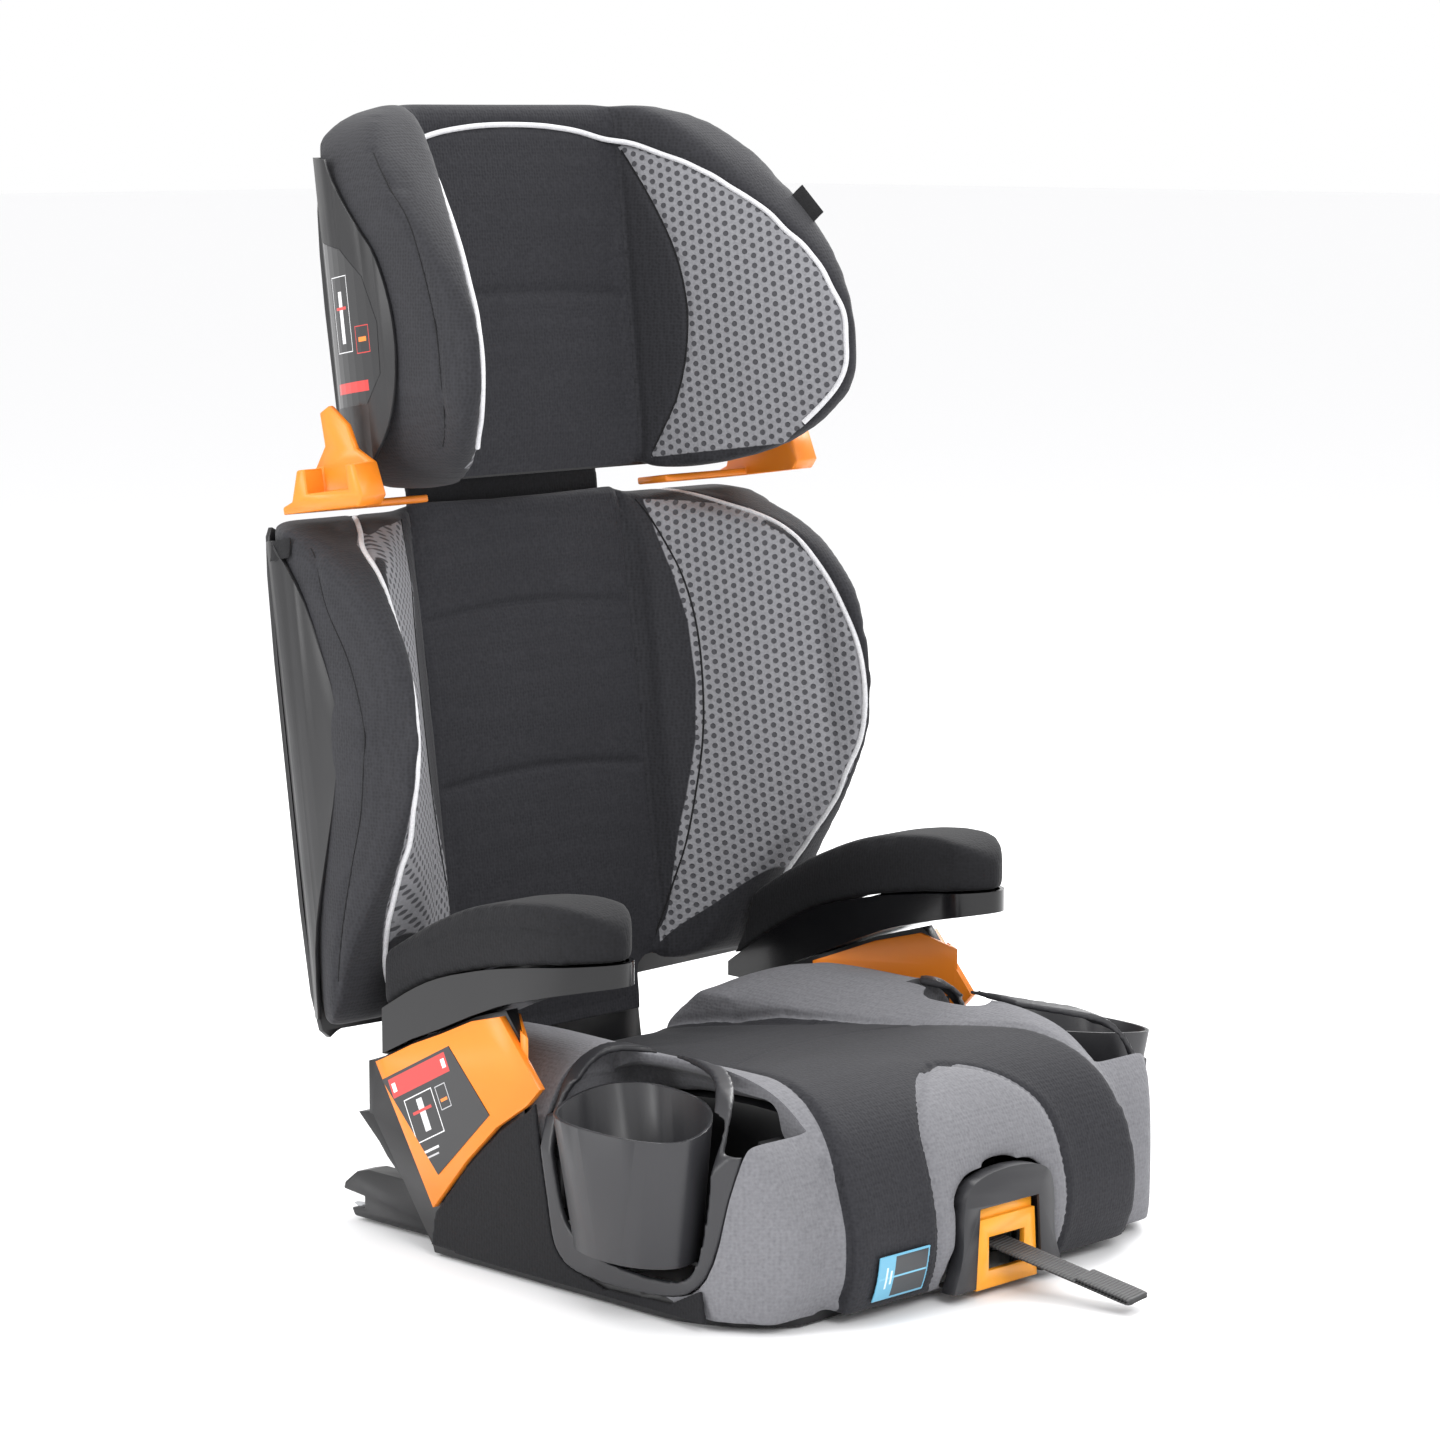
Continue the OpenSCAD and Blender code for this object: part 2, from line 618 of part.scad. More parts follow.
module latch_strap() {
    color("#1c1c1d") block([dock_x - strap_t / 2, dock_x + strap_t / 2], [44, latch_y[0] + 7.5],
        [latch_z + 6, latch_z + 28]);
}
module latch_left() left_hand() latch();
module latch_right() latch();
module latch_jaw_left() left_hand() latch_jaw();
module latch_jaw_right() latch_jaw();
module latch_button_left() left_hand() latch_button();
module latch_button_right() latch_button();
module latch_strap_left() left_hand() latch_strap();
module latch_strap_right() latch_strap();

// ---- backrest, in its own leaning frame with the recline bar at its foot ------------------

module leaning() translate(bar_at) rotate([-lean, 0, 0]) children();
kb = back_h / 424;              // how the wing's outline stretches with the backrest
wing_line = ring([for (q = [[-9, 421], [-34, 424], [-68, 408], [-104, 387], [-131, 358], [-147, 325],
    [-152, 292], [-148, 258], [-134, 224], [-112, 191], [-84, 158], [-62, 128], [-48, 100], [-32, 86],
    [-17, 92], [-10, 130], [-14, 204], [-13, 280], [-9, 350]]) [q[0], q[1] * kb]], 3);
cheek_line = ring([for (q = [[0, 430], [-25, 418], [-58, 382], [-76, 342], [-87, 300], [-80, 254],
    [-61, 204], [-40, 156], [-30, 121], [-20, 84], [0, 80]]) [q[0], q[1] * kb]], 3);
pad_hw = pad_w / 2;
out_x = hw + 18;                // outer face of the backrest's wings
shell_y = [-14, -10];           // front and rear of the back shell's panel
tongue_x = 82;                  // half width of the tongue below the wings
chan_x = stem_w / 2 + 0.6;      // half width of the stem's channel
chan_y = [3, 3 + stem_t + 1.2]; // its depth
chan_foot = 110;
wing_plan = concat([[pad_hw + 1, shell_y[0] - gap], [pad_hw + 1, -32]], curve([[pad_hw + 1, -32],
    [pad_hw + 30, -50], [pad_hw + 62, -84], [hw - 10, -118], [hw - 2, -142], [hw + 8, -153],
    [out_x - 2, -142], [out_x, -112], [out_x, -64], [out_x - 4, -36], [out_x - 16, shell_y[0] - gap]]));
rear_x = out_x - 13;            // half width of the back shell's panel
// Wall that wraps round a wing's plan, between two distances from it
module wrap_wall(plan, near, far, x) {
    difference() {
        plan_prism(inset(plan, -far), 0, 900);
        plan_prism(inset(plan, -near), 0, 900);
        block([-hw, x], [-300, 100], [-1, 901]);
    }
}

module back_shell() {
    color("#2b2c2f") leaning() difference() {
        union() {
            // panel with rounded upper corners
            front_prism(concat([[tongue_x, 24], [tongue_x, 82 * kb], [rear_x - 20, 84 * kb]],
                curve([[rear_x - 20, 84 * kb], [rear_x, 110 * kb], [rear_x, 390 * kb],
                [rear_x - 16, 418 * kb], [rear_x - 60, back_h]]), [[-rear_x + 60, back_h]],
                mirrored(curve([[rear_x - 20, 84 * kb], [rear_x, 110 * kb], [rear_x, 390 * kb],
                [rear_x - 16, 418 * kb], [rear_x - 60, back_h]])),
                [[-rear_x + 20, 84 * kb], [-tongue_x, 82 * kb], [-tongue_x, 24]]),
                shell_y[0], shell_y[1]);
            // side cheeks
            both_sides() intersection() {
                side_prism(cheek_line, out_x - 40, out_x + 20);
                block([0, 400], [-200, shell_y[1]], [94 * kb, 412 * kb]);
                wrap_wall(wing_plan, gap, 3.4, out_x - 30);
            }
            // channel for the headrest's stem
            both_sides() block([chan_x, chan_x + 5], [shell_y[1] - 1, chan_y[1] + 6],
                [chan_foot, back_h - 6]);
            block([-chan_x - 4, chan_x + 4], [shell_y[1] - 1, chan_y[0]], [chan_foot, back_h - 6]);
            // ribs on the rear
            both_sides() for (x = [90, 140]) block([x, x + 3], [shell_y[1] - 1, -2],
                [120 * kb, 392 * kb]);
            // hooks round the recline bar
            both_sides() {
                block([ear_x[0] + ear_t + 2, ear_x[1] - 2], [shell_y[0], bar_r + 5], [0, 60]);
                rod_x(bar_r + 5, ear_x[0] + ear_t + 2, ear_x[1] - 2);
            }
        }
        cover_holes();
        rod_x(bar_r + run, -hw, hw);
        block([-hw, hw], [-bar_r + 1.5, bar_r - 1.5], [-30, 0]);
    }
}
module back_pad() {
    color("#3a3a3f") leaning() intersection() {
        side_prism(flipped(concat(curve([[-26, 432 * kb], [-31, 426 * kb], [-31, 350 * kb],
            [-33, 300 * kb], [-29, 230 * kb], [-26, 150 * kb], [-24, 90], [-22, 34]]),
            [[-20, 30], [-20, 432 * kb]])), -pad_hw, pad_hw);
        front_prism([[-tongue_x, 0], [tongue_x, 0], [tongue_x, 86 * kb], [pad_hw, 98 * kb],
            [pad_hw, 600], [-pad_hw, 600], [-pad_hw, 98 * kb], [-tongue_x, 86 * kb]], -60, 0);
    }
}
module back_wing() {
    color("#8a8a8d") leaning() difference() {
        intersection() {
            side_prism(wing_line, 0, out_x + 1);
            plan_prism(wing_plan, 0, 700);
        }
        block([0, 400], [shell_y[0] - gap, 20], [0, 700]);
    }
}
module back_wing_left() left_hand() back_wing();
module back_wing_right() back_wing();

module rear_cover() {
    color("#2b2c2f") leaning() difference() {
        front_prism(concat([[-58, chan_foot - 6], [58, chan_foot - 6], [58, back_h - 30],
            [44, back_h - 8], [-44, back_h - 8], [-58, back_h - 30]]),
            chan_y[1] + 6 + gap, chan_y[1] + 9 + gap);
        cover_holes();
    }
}
module cover_holes() {
    for (z = screw_z, x = [-1, 1]) translate([x * (chan_x + 2.3), chan_y[1] - 3, z])
        rotate([-90, 0, 0]) cylinder(r = 1.2 + run, h = 40);
}
screw_z = [chan_foot + 20, back_h / 2, back_h - 40];
module cover_screws() {
    color("#77797c") leaning() for (z = screw_z, x = [-1, 1])
        translate([x * (chan_x + 2.3), chan_y[1] + 9 + gap, z]) rotate([-90, 0, 0]) {
            cylinder(r = 3.4, h = 2);
            translate([0, 0, -10]) cylinder(r = 1.2, h = 10);
        }
}

// Rack of notches that the headrest's pawl drops into
notches = floor(head_travel / notch_pitch);
pawl_z = back_h - 40 - head_travel;
pawl_h = 5;
rack_y = [chan_y[1] + 0.2, chan_y[1] + 6];
module notch_rack() {
    color("#d9d9d4") leaning() difference() {
        block([-12, 12], rack_y, [pawl_z - 10, pawl_z + head_travel + 16]);
        for (i = [0:notches]) block([-7.4, 7.4], [rack_y[0] - 1, rack_y[1] - 1.5],
            [pawl_z + i * notch_pitch - 0.5, pawl_z + i * notch_pitch + pawl_h + 0.5]);
    }
}

// ---- headrest, in the same leaning frame --------------------------------------------------

kh = head_h / 262;
head_z = back_h + 12;           // lower edge of the headrest
function head_pts(p) = [for (q = p) [q[0], head_z + (q[1] - 436) * kh]];
head_line = ring(head_pts([[-46, 560], [-46, 670], [-50, 692], [-70, 695], [-94, 685], [-118, 663],
    [-143, 633], [-171, 598], [-190, 566], [-202, 536], [-203, 508], [-193, 480], [-172, 458],
    [-146, 443], [-108, 436], [-66, 437], [-47, 446], [-46, 480]]), 3);
// Outline of the headrest seen from the front, right half
head_front = concat([[80, head_z - 4]], head_pts(curve([[120, 434], [150, 441], [172, 458],
    [186, 490], [191, 540], [189, 600], [180, 645], [164, 672], [140, 688], [110, 695], [80, 697]])));
head_x = hw - 17;               // outer face of the headrest's wings
head_y = [-45, -41];            // front and rear of the head shell's panel
head_pad_hw = pad_hw - 2;
// Side cheek of the head shell
head_cheek = head_pts(concat([[-41, 458]], curve([[-104, 458], [-124, 478], [-137, 510], [-139, 548],
    [-128, 586], [-108, 612], [-86, 640], [-78, 656]]), [[-41, 662]]));
head_plan = concat([[head_pad_hw + 1, head_y[0] - gap], [head_pad_hw + 1, -62]],
    curve([[head_pad_hw + 1, -62], [head_pad_hw + 16, -100], [head_pad_hw + 40, -142],
    [hw - 48, -182], [hw - 38, -202], [head_x - 14, -206], [head_x - 3, -190], [head_x, -150],
    [head_x - 3, -104], [head_x - 12, -70], [head_x - 28, head_y[0] - gap]]));
neck_z = head_z + 20;

head_panel = curve([[head_x - 34, head_z + 6], [head_x - 26, head_z + 60 * kh],
    [head_x - 27, head_z + 190 * kh], [head_x - 46, head_z + 236 * kh],
    [head_x - 84, head_z + 250 * kh]]);

module head_shell() {
    color("#2b2c2f") leaning() difference() {
        union() {
            front_prism(concat(head_panel, mirrored(head_panel)), head_y[0], head_y[1]);
            // cheeks that wrap round the wings' sides
            both_sides() {
                intersection() {
                    side_prism(head_cheek, head_x - 50, head_x + 20);
                    wrap_wall(head_plan, gap, 2.8, head_x - 40);
                }
            }
            // neck back to the stem
            block([-48, 48], [head_y[1] - 1, stem_y[0]], [neck_z, neck_z + 110 * kh]);
            // fixed grip above the release handle
            block([-40, 40], [head_y[1] - 1, -14], [head_z + 210 * kh, head_z + 222 * kh]);
        }
        // pocket for the release handle
        block([-34, 34], [head_y[1], stem_y[0] + 1], [neck_z + 70 * kh, head_z + 209 * kh]);
    }
}
module head_pad() {
    color("#3a3a3f") leaning() difference() {
        intersection() {
            side_prism(flipped(concat(head_pts(curve([[head_y[0] - gap, 700], [-58, 697], [-63, 684],
                [-62, 640], [-59, 560], [-56, 480], [-52, 440]])),
                head_pts([[head_y[0] - gap, 438]]))), -head_pad_hw, head_pad_hw);
        }
    }
}
module head_wing() {
    color("#8a8a8d") leaning() intersection() {
        side_prism(head_line, 0, head_x + 1);
        front_prism(head_front, -300, 0);
        plan_prism(head_plan, 0, 900);
        block([0, 400], [-300, head_y[0] - gap], [0, 900]);
    }
}
module head_wing_left() left_hand() head_wing();
module head_wing_right() head_wing();

stem_foot = pawl_z - 26;
stem_y = [chan_y[0] + 0.6, chan_y[0] + 0.6 + stem_t];
rod_hw = 3.2;                   // half width of the handle's rod
rod_y = [stem_y[0] + gap, stem_y[0] + 3];
module head_stem() {
    color("#3b3c3f") leaning() difference() {
        block([-stem_w / 2, stem_w / 2], stem_y, [stem_foot, neck_z + 110 * kh]);
        // window that the pawl slides in, and slot for the handle's rod
        block([-7.4, 7.4], [stem_y[0] - 1, stem_y[1] + 1], [pawl_z - 0.4, pawl_z + pawl_h + 0.4]);
        block([-rod_hw - gap, rod_hw + gap], [stem_y[0] - 1, rod_y[1] + gap],
            [pawl_z - 0.4, neck_z + 120 * kh]);
    }
}
module head_apron() {
    color("#2f2f32") leaning() block([-pad_hw + 8, pad_hw - 8], [shell_y[0] - 5.4, shell_y[0] - 1],
        [neck_z - 130, neck_z]);
}
module height_handle() {
    color("#4a4b4e") leaning() {
        block([-32, 32], [-37, -16], [head_z + 176 * kh, head_z + 190 * kh]);
        // link and rod that run down inside the stem to the pawl
        block([-rod_hw, rod_hw], [-17, rod_y[1]], [head_z + 176 * kh, head_z + 186 * kh]);
        block([-rod_hw, rod_hw], rod_y, [pawl_z + pawl_h + 2, head_z + 177 * kh]);
    }
}
module height_pawl() {
    color("#c9c9c4") leaning() block([-7, 7], [rack_y[0] - gap - 4.4, rack_y[0] - gap],
        [pawl_z, pawl_z + pawl_h]);
}

// Shoulder belt guides: a bar under the wing with an open hook at its outer end
module belt_guide() {
    color("#f58a1f") leaning() difference() {
        union() {
            block([head_pad_hw + 16, head_x + 8], [-66, -36], [head_z - 8, head_z - 3]);
            // open hook and the blade above it
            side_prism(head_pts([[-36, 428], [-112, 428], [-118, 434], [-112, 456], [-104, 456],
                [-104, 440], [-62, 440], [-62, 456], [-54, 456], [-46, 436], [-36, 433]]),
                head_x + 3.2, head_x + 24);
            side_prism(head_pts([[-36, 428], [-112, 428], [-118, 434], [-112, 456], [-96, 466],
                [-90, 482], [-74, 496], [-64, 492], [-66, 470], [-54, 456], [-46, 436], [-36, 433]]),
                head_x + 3.2, head_x + 8);
        }
        block([head_pad_hw + 30, head_x - 8], [-56, -44], [head_z - 20, head_z + 10]);
    }
}
module belt_guide_left() left_hand() belt_guide();
module belt_guide_right() belt_guide();
module head_label() {
    color("#1b1b1c") leaning() intersection() {
        side_prism(head_pts([[-56, 494], [-104, 494], [-122, 512], [-124, 545], [-112, 576],
            [-88, 596], [-56, 604]]), head_x - 40, head_x + 20);
        wrap_wall(head_plan, 2.8, 3.1, head_x - 40);
    }
}
module head_label_left() left_hand() head_label();
module head_label_right() head_label();

base_shell();
base_feet();
seat_pad();
thigh_bolster_left();
thigh_bolster_right();
front_bib();
front_bezel();
seat_patch();
side_skirt_left();
side_skirt_right();
armrest_tray_left();
armrest_tray_right();
armrest_pad_left();
armrest_pad_right();
lap_guide_left();
lap_guide_right();
lap_label_left();
lap_label_right();
cup_bezel_left();
cup_bezel_right();
cup_hinge_pins();
recline_bar();
tab_pin();
strap_adjuster();
base_screws();
release_tab();
pull_strap();
latch_left();
latch_right();
latch_jaw_left();
latch_jaw_right();
latch_button_left();
latch_button_right();
latch_strap_left();
latch_strap_right();
cup_left();
cup_right();
back_shell();
back_pad();
back_wing_left();
back_wing_right();
rear_cover();
notch_rack();
cover_screws();
head_shell();
head_pad();
head_wing_left();
head_wing_right();
head_stem();
head_apron();
belt_guide_left();
belt_guide_right();
head_label_left();
head_label_right();
height_handle();
height_pawl();
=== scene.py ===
import math

import bmesh
import bpy
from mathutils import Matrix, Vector
from mathutils.bvhtree import BVHTree
from mathutils.kdtree import KDTree


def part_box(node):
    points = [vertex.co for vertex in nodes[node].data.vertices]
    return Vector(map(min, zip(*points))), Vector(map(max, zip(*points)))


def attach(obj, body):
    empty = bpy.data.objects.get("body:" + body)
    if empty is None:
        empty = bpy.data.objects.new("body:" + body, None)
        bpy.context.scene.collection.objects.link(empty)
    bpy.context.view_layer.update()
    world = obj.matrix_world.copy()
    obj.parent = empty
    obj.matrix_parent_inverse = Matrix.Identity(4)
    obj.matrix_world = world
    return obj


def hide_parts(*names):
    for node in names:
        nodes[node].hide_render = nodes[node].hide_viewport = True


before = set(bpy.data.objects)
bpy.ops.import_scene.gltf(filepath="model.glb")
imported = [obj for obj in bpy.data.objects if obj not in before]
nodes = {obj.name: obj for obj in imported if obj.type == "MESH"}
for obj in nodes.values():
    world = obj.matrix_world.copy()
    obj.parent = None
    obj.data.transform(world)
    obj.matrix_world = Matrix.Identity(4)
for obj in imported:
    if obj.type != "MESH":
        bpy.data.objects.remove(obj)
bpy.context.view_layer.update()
sides = {"Left": -1, "Right": 1}
print("frame loaded")

# the camera, the pale floor and the soft lights
studio = {"cameraAt": (-1.9647, -1.9227, 0.7394), "lookAt": (-0.005, 0.037, 0.340), "lens": 105.55,
          "floorSize": 30, "worldLight": 1.0}


def aimAt(thing, target):
    direction = Vector(target) - thing.location
    thing.rotation_euler = direction.to_track_quat("-Z", "Y").to_euler()


def addLight(name, place, target, size, watts):
    data = bpy.data.lights.new(name, "AREA")
    data.shape = "RECTANGLE"
    data.size, data.size_y = size
    data.energy = watts
    lamp = bpy.data.objects.new(name, data)
    lamp.location = place
    bpy.context.scene.collection.objects.link(lamp)
    aimAt(lamp, target)


cameraData = bpy.data.cameras.new("studioCamera")
cameraData.lens = studio["lens"]
cameraData.sensor_width = 36
camera = bpy.data.objects.new("studioCamera", cameraData)
camera.location = studio["cameraAt"]
bpy.context.scene.collection.objects.link(camera)
aimAt(camera, studio["lookAt"])
bpy.context.scene.camera = camera

addLight("keyLight", (-1.0, -2.6, 2.4), (0, 0, 0.35), (1.4, 1.4), 42)
addLight("rimLight", (2.4, 0.6, 2.0), (0, 0, 0.4), (1.0, 2.0), 60)
addLight("sideLight", (-2.6, 0.7, 1.2), (0, 0, 0.35), (0.7, 1.8), 34)
addLight("topLight", (0.2, 0.2, 2.6), (0, 0, 0.3), (1.6, 1.6), 30)
bpy.context.scene.view_settings.view_transform = "Standard"


def hexColor(code):  # sRGB hex to linear
    parts = [int(code[i:i + 2], 16) / 255 for i in (1, 3, 5)]
    return tuple(p / 12.92 if p <= 0.04045 else ((p + 0.055) / 1.055) ** 2.4 for p in parts) + (1,)


def addNode(tree, kind, inputs=None, **settings):
    node = tree.nodes.new(kind)
    for name, value in settings.items():
        setattr(node, name, value)
    for name, value in (inputs or {}).items():
        socket = node.inputs[name]
        if isinstance(value, bpy.types.NodeSocket):
            tree.links.new(value, socket)
        else:
            socket.default_value = value
    return node


def newMaterial(name, **shader):
    material = bpy.data.materials.new(name)
    material.use_nodes = True
    tree = material.node_tree
    surface = tree.nodes["Principled BSDF"]
    for socket, value in shader.items():
        surface.inputs[socket.replace("_", " ")].default_value = value
    place = addNode(tree, "ShaderNodeTexCoord").outputs["Object"]
    return material, tree, surface, place


def colorMix(tree, factor, low, high):
    return addNode(tree, "ShaderNodeMix", {0: factor, 6: low, 7: high}, data_type="RGBA").outputs[2]


def bumpInto(tree, surface, height, depth, strength=1.0):
    bump = addNode(tree, "ShaderNodeBump", {"Height": height, "Distance": depth, "Strength": strength})
    tree.links.new(bump.outputs["Normal"], surface.inputs["Normal"])


def knitFabric(name, color, shade, loop=2.4, sheen=0.25):
    # brushed polyester knit: soft, matt, with a faint random heather of lighter and darker tone, and each
    # loop painted darker in its hollow, painted shade that follows the loops' bump
    material, tree, surface, place = newMaterial(name, Roughness=0.82, Sheen_Weight=sheen,
                                                 Sheen_Roughness=0.45, Specular_IOR_Level=0.25)
    loops = addNode(tree, "ShaderNodeTexVoronoi", {"Vector": place, "Scale": 1000 / loop,
                                                   "Randomness": 0.45})
    heather = addNode(tree, "ShaderNodeTexNoise", {"Vector": place, "Scale": 420.0, "Detail": 3.0})
    blotch = addNode(tree, "ShaderNodeTexNoise", {"Vector": place, "Scale": 14.0, "Detail": 2.0})
    # painted shade: the loops' distance is also the bump height below, so each loop's hollow is painted
    # darker; the heather noise adds random tone
    grain = addNode(tree, "ShaderNodeMath", {0: loops.outputs["Distance"], 1: 0.45},
                    operation="MULTIPLY")
    loopShadeAndHeather = addNode(tree, "ShaderNodeMath", {0: grain.outputs[0], 1: heather.outputs["Fac"]},
                    operation="ADD")
    spread = addNode(tree, "ShaderNodeMapRange", {"Value": loopShadeAndHeather.outputs[0], "From Min": 0.35,
                                                  "From Max": 0.95})
    fine = colorMix(tree, spread.outputs[0], hexColor(shade), hexColor(color))
    worn = addNode(tree, "ShaderNodeMapRange", {"Value": blotch.outputs["Fac"], "From Min": 0.3,
                                                "From Max": 0.7, "To Min": 0.0, "To Max": 0.22})
    tree.links.new(colorMix(tree, worn.outputs[0], fine, hexColor(shade)), surface.inputs["Base Color"])
    bumpInto(tree, surface, loops.outputs["Distance"], 0.0005, 0.55)
    return material


def mouldedPlastic(name, color, roughness, grain=0.9, depth=0.00008, **extra):
    # moulded plastic: even colour, fine spark-eroded grain, slightly rougher in patches
    material, tree, surface, place = newMaterial(name, Roughness=roughness, **extra)
    fine = addNode(tree, "ShaderNodeTexNoise", {"Vector": place, "Scale": 1000 / grain, "Detail": 2.0})
    wide = addNode(tree, "ShaderNodeTexNoise", {"Vector": place, "Scale": 22.0, "Detail": 3.0})
    darker = tuple(c * 0.86 for c in hexColor(color)[:3]) + (1,)
    tree.links.new(colorMix(tree, wide.outputs["Fac"], darker, hexColor(color)),
                   surface.inputs["Base Color"])
    rough = addNode(tree, "ShaderNodeMapRange", {"Value": wide.outputs["Fac"], "From Min": 0.3,
                                                 "From Max": 0.7, "To Min": roughness - 0.04,
                                                 "To Max": roughness + 0.06})
    tree.links.new(rough.outputs[0], surface.inputs["Roughness"])
    bumpInto(tree, surface, fine.outputs["Fac"], depth, 0.5)
    return material


def wovenBand(name, color, shade, rib, along):
    # woven polyester webbing: ribs across the band, a little shine on each, and each rib's colour painted
    # darker in its trough and lighter on its crest, painted shade and painted highlight
    material, tree, surface, place = newMaterial(name, Roughness=0.55, Sheen_Weight=0.2,
                                                 Specular_IOR_Level=0.4)
    run = addNode(tree, "ShaderNodeVectorMath", {0: place, 1: along}, operation="DOT_PRODUCT")
    wave = addNode(tree, "ShaderNodeMath", {0: run.outputs["Value"], 1: 2 * math.pi * 1000 / rib},
                   operation="MULTIPLY")
    ribs = addNode(tree, "ShaderNodeMath", {0: wave.outputs[0]}, operation="SINE")
    ribHeightAndPaintedShade = addNode(tree, "ShaderNodeMapRange", {"Value": ribs.outputs[0], "From Min": -1.0,
                                                 "From Max": 1.0})
    # painted shade and painted highlight: the colour follows the ribs' bump height, dark in each trough and
    # light on each crest
    tree.links.new(colorMix(tree, ribHeightAndPaintedShade.outputs[0], hexColor(shade), hexColor(color)),
                   surface.inputs["Base Color"])
    bumpInto(tree, surface, ribHeightAndPaintedShade.outputs[0], 0.0006, 0.8)
    return material


def wingFabric(name, settings):
    # black knit with an inset of grey spacer mesh, whose hexagonal holes show the dark ground; the knit's
    # loops are painted darker in their hollows, painted shade
    material, tree, surface, place = newMaterial(name, Roughness=0.8, Sheen_Weight=0.08,
                                                 Specular_IOR_Level=0.25)
    flat = addNode(tree, "ShaderNodeUVMap", uv_map="meshRun").outputs["UV"]
    total = None
    for turn in (0, 60, 120):
        k = 2 * math.pi / (settings["holePitch"] * 0.866)
        way = (k * math.cos(math.radians(turn)), k * math.sin(math.radians(turn)), 0)
        run = addNode(tree, "ShaderNodeVectorMath", {0: flat, 1: way}, operation="DOT_PRODUCT")
        wave = addNode(tree, "ShaderNodeMath", {0: run.outputs["Value"]}, operation="COSINE")
        total = wave.outputs[0] if total is None else addNode(
            tree, "ShaderNodeMath", {0: total, 1: wave.outputs[0]}, operation="ADD").outputs[0]
    hole = addNode(tree, "ShaderNodeMapRange", {"Value": total, "From Min": 0.35, "From Max": 1.25,
                                                "To Min": 0.0, "To Max": 1.0})
    thread = addNode(tree, "ShaderNodeTexNoise", {"Vector": place, "Scale": 520.0, "Detail": 3.0})
    grey = colorMix(tree, thread.outputs["Fac"], hexColor(settings["meshShade"]),
                    hexColor(settings["mesh"]))
    mesh = colorMix(tree, hole.outputs[0], grey, hexColor(settings["hole"]))
    # painted shade: the knit's colour is the loops' distance, the same as their bump height, so each loop's
    # hollow is painted darker
    loops = addNode(tree, "ShaderNodeTexVoronoi", {"Vector": place, "Scale": 420.0, "Randomness": 0.45})
    heather = addNode(tree, "ShaderNodeMapRange", {"Value": loops.outputs["Distance"], "From Max": 0.8})
    knit = colorMix(tree, heather.outputs[0], hexColor(settings["knitShade"]), hexColor(settings["knit"]))
    inset = addNode(tree, "ShaderNodeAttribute", attribute_name="meshInset")
    edge = addNode(tree, "ShaderNodeMapRange", {"Value": inset.outputs["Fac"], "From Min": -0.0003,
                                                "From Max": 0.0003})
    tree.links.new(colorMix(tree, edge.outputs[0], knit, mesh), surface.inputs["Base Color"])
    dip = addNode(tree, "ShaderNodeMath", {0: hole.outputs[0], 1: edge.outputs[0]}, operation="MULTIPLY")
    fine = addNode(tree, "ShaderNodeMath", {0: loops.outputs["Distance"], 1: 0.22}, operation="MULTIPLY")
    height = addNode(tree, "ShaderNodeMath", {0: fine.outputs[0], 1: dip.outputs[0]}, operation="SUBTRACT")
    bumpInto(tree, surface, height.outputs[0], 0.0016, 0.7)
    return material


# each knit's second colour is its darker tone for random heather and wear blotches, and also the painted
# shade in its loops' hollows
charcoalKnit = knitFabric("charcoalPolyesterKnit", "#2f2f33", "#202024", sheen=0.06)
blackKnit = knitFabric("blackPolyesterKnit", "#1d1d20", "#121214", sheen=0.06)
greyKnit = knitFabric("greyPolyesterKnit", "#7b7b7f", "#68686c", sheen=0.1)
# knitShade is the colour painted in each knit loop's hollow, painted shade
wingKnit = wingFabric("wingKnitWithSpacerMesh", {"holePitch": 0.0070, "mesh": "#98989c",
                                                 "meshShade": "#77777b", "hole": "#4a4a4e",
                                                 "knit": "#2f2f33", "knitShade": "#212124"})
shellPlastic = mouldedPlastic("mouldedBlackPolypropylene", "#19191b", 0.44)
cupPlastic = mouldedPlastic("mouldedGreyPolypropylene", "#2f2f32", 0.4)
trayPlastic = mouldedPlastic("polishedBlackAbs", "#0e0e10", 0.2, depth=0.00001, Coat_Weight=0.15,
                             Coat_Roughness=0.08, Specular_IOR_Level=0.35)
orangePlastic = mouldedPlastic("orangePolypropylene", "#f58a22", 0.36, depth=0.00003,
                               Subsurface_Weight=0.08, Subsurface_Radius=(0.004, 0.0015, 0.0005))
amberPlastic = mouldedPlastic("amberPolypropylene", "#fba72a", 0.34, depth=0.00003,
                              Subsurface_Weight=0.08, Subsurface_Radius=(0.004, 0.002, 0.0005))
nylonPlastic = mouldedPlastic("naturalNylon", "#cfcec6", 0.45, depth=0.00003)
buttonPlastic = mouldedPlastic("redAcetal", "#b8382f", 0.38, depth=0.00002)
footRubber = mouldedPlastic("blackThermoplasticRubber", "#151515", 0.7, grain=1.5)
zincSteel = mouldedPlastic("zincPlatedSteel", "#b4b6b8", 0.3, grain=0.6, depth=0.00002, Metallic=1.0)
pipingCloth = knitFabric("silverPipingCloth", "#e2e2e4", "#c8c8cc", loop=1.6, sheen=0.2)
seamThread = knitFabric("blackSeamThread", "#1d1d1f", "#121214", loop=1.6, sheen=0.1)
# webbing: the second colour is the painted shade in the rib troughs
strapWeb = wovenBand("blackWebbing", "#2c2c2e", "#121213", 2.4, (0.186, -0.956, -0.225))
latchWeb = wovenBand("blackConnectorWebbing", "#2c2c2e", "#121213", 2.4, (0.0, 1.0, 0.0))


def boxMask(tree, across, down, place, size):  # 1 inside a rectangle on a label
    marks = [addNode(tree, "ShaderNodeMath", {0: run, 1: middle, 2: width / 2},
                     operation="COMPARE").outputs[0]
             for run, middle, width in zip((across, down), place, size)]
    return addNode(tree, "ShaderNodeMath", {0: marks[0], 1: marks[1]}, operation="MULTIPLY").outputs[0]


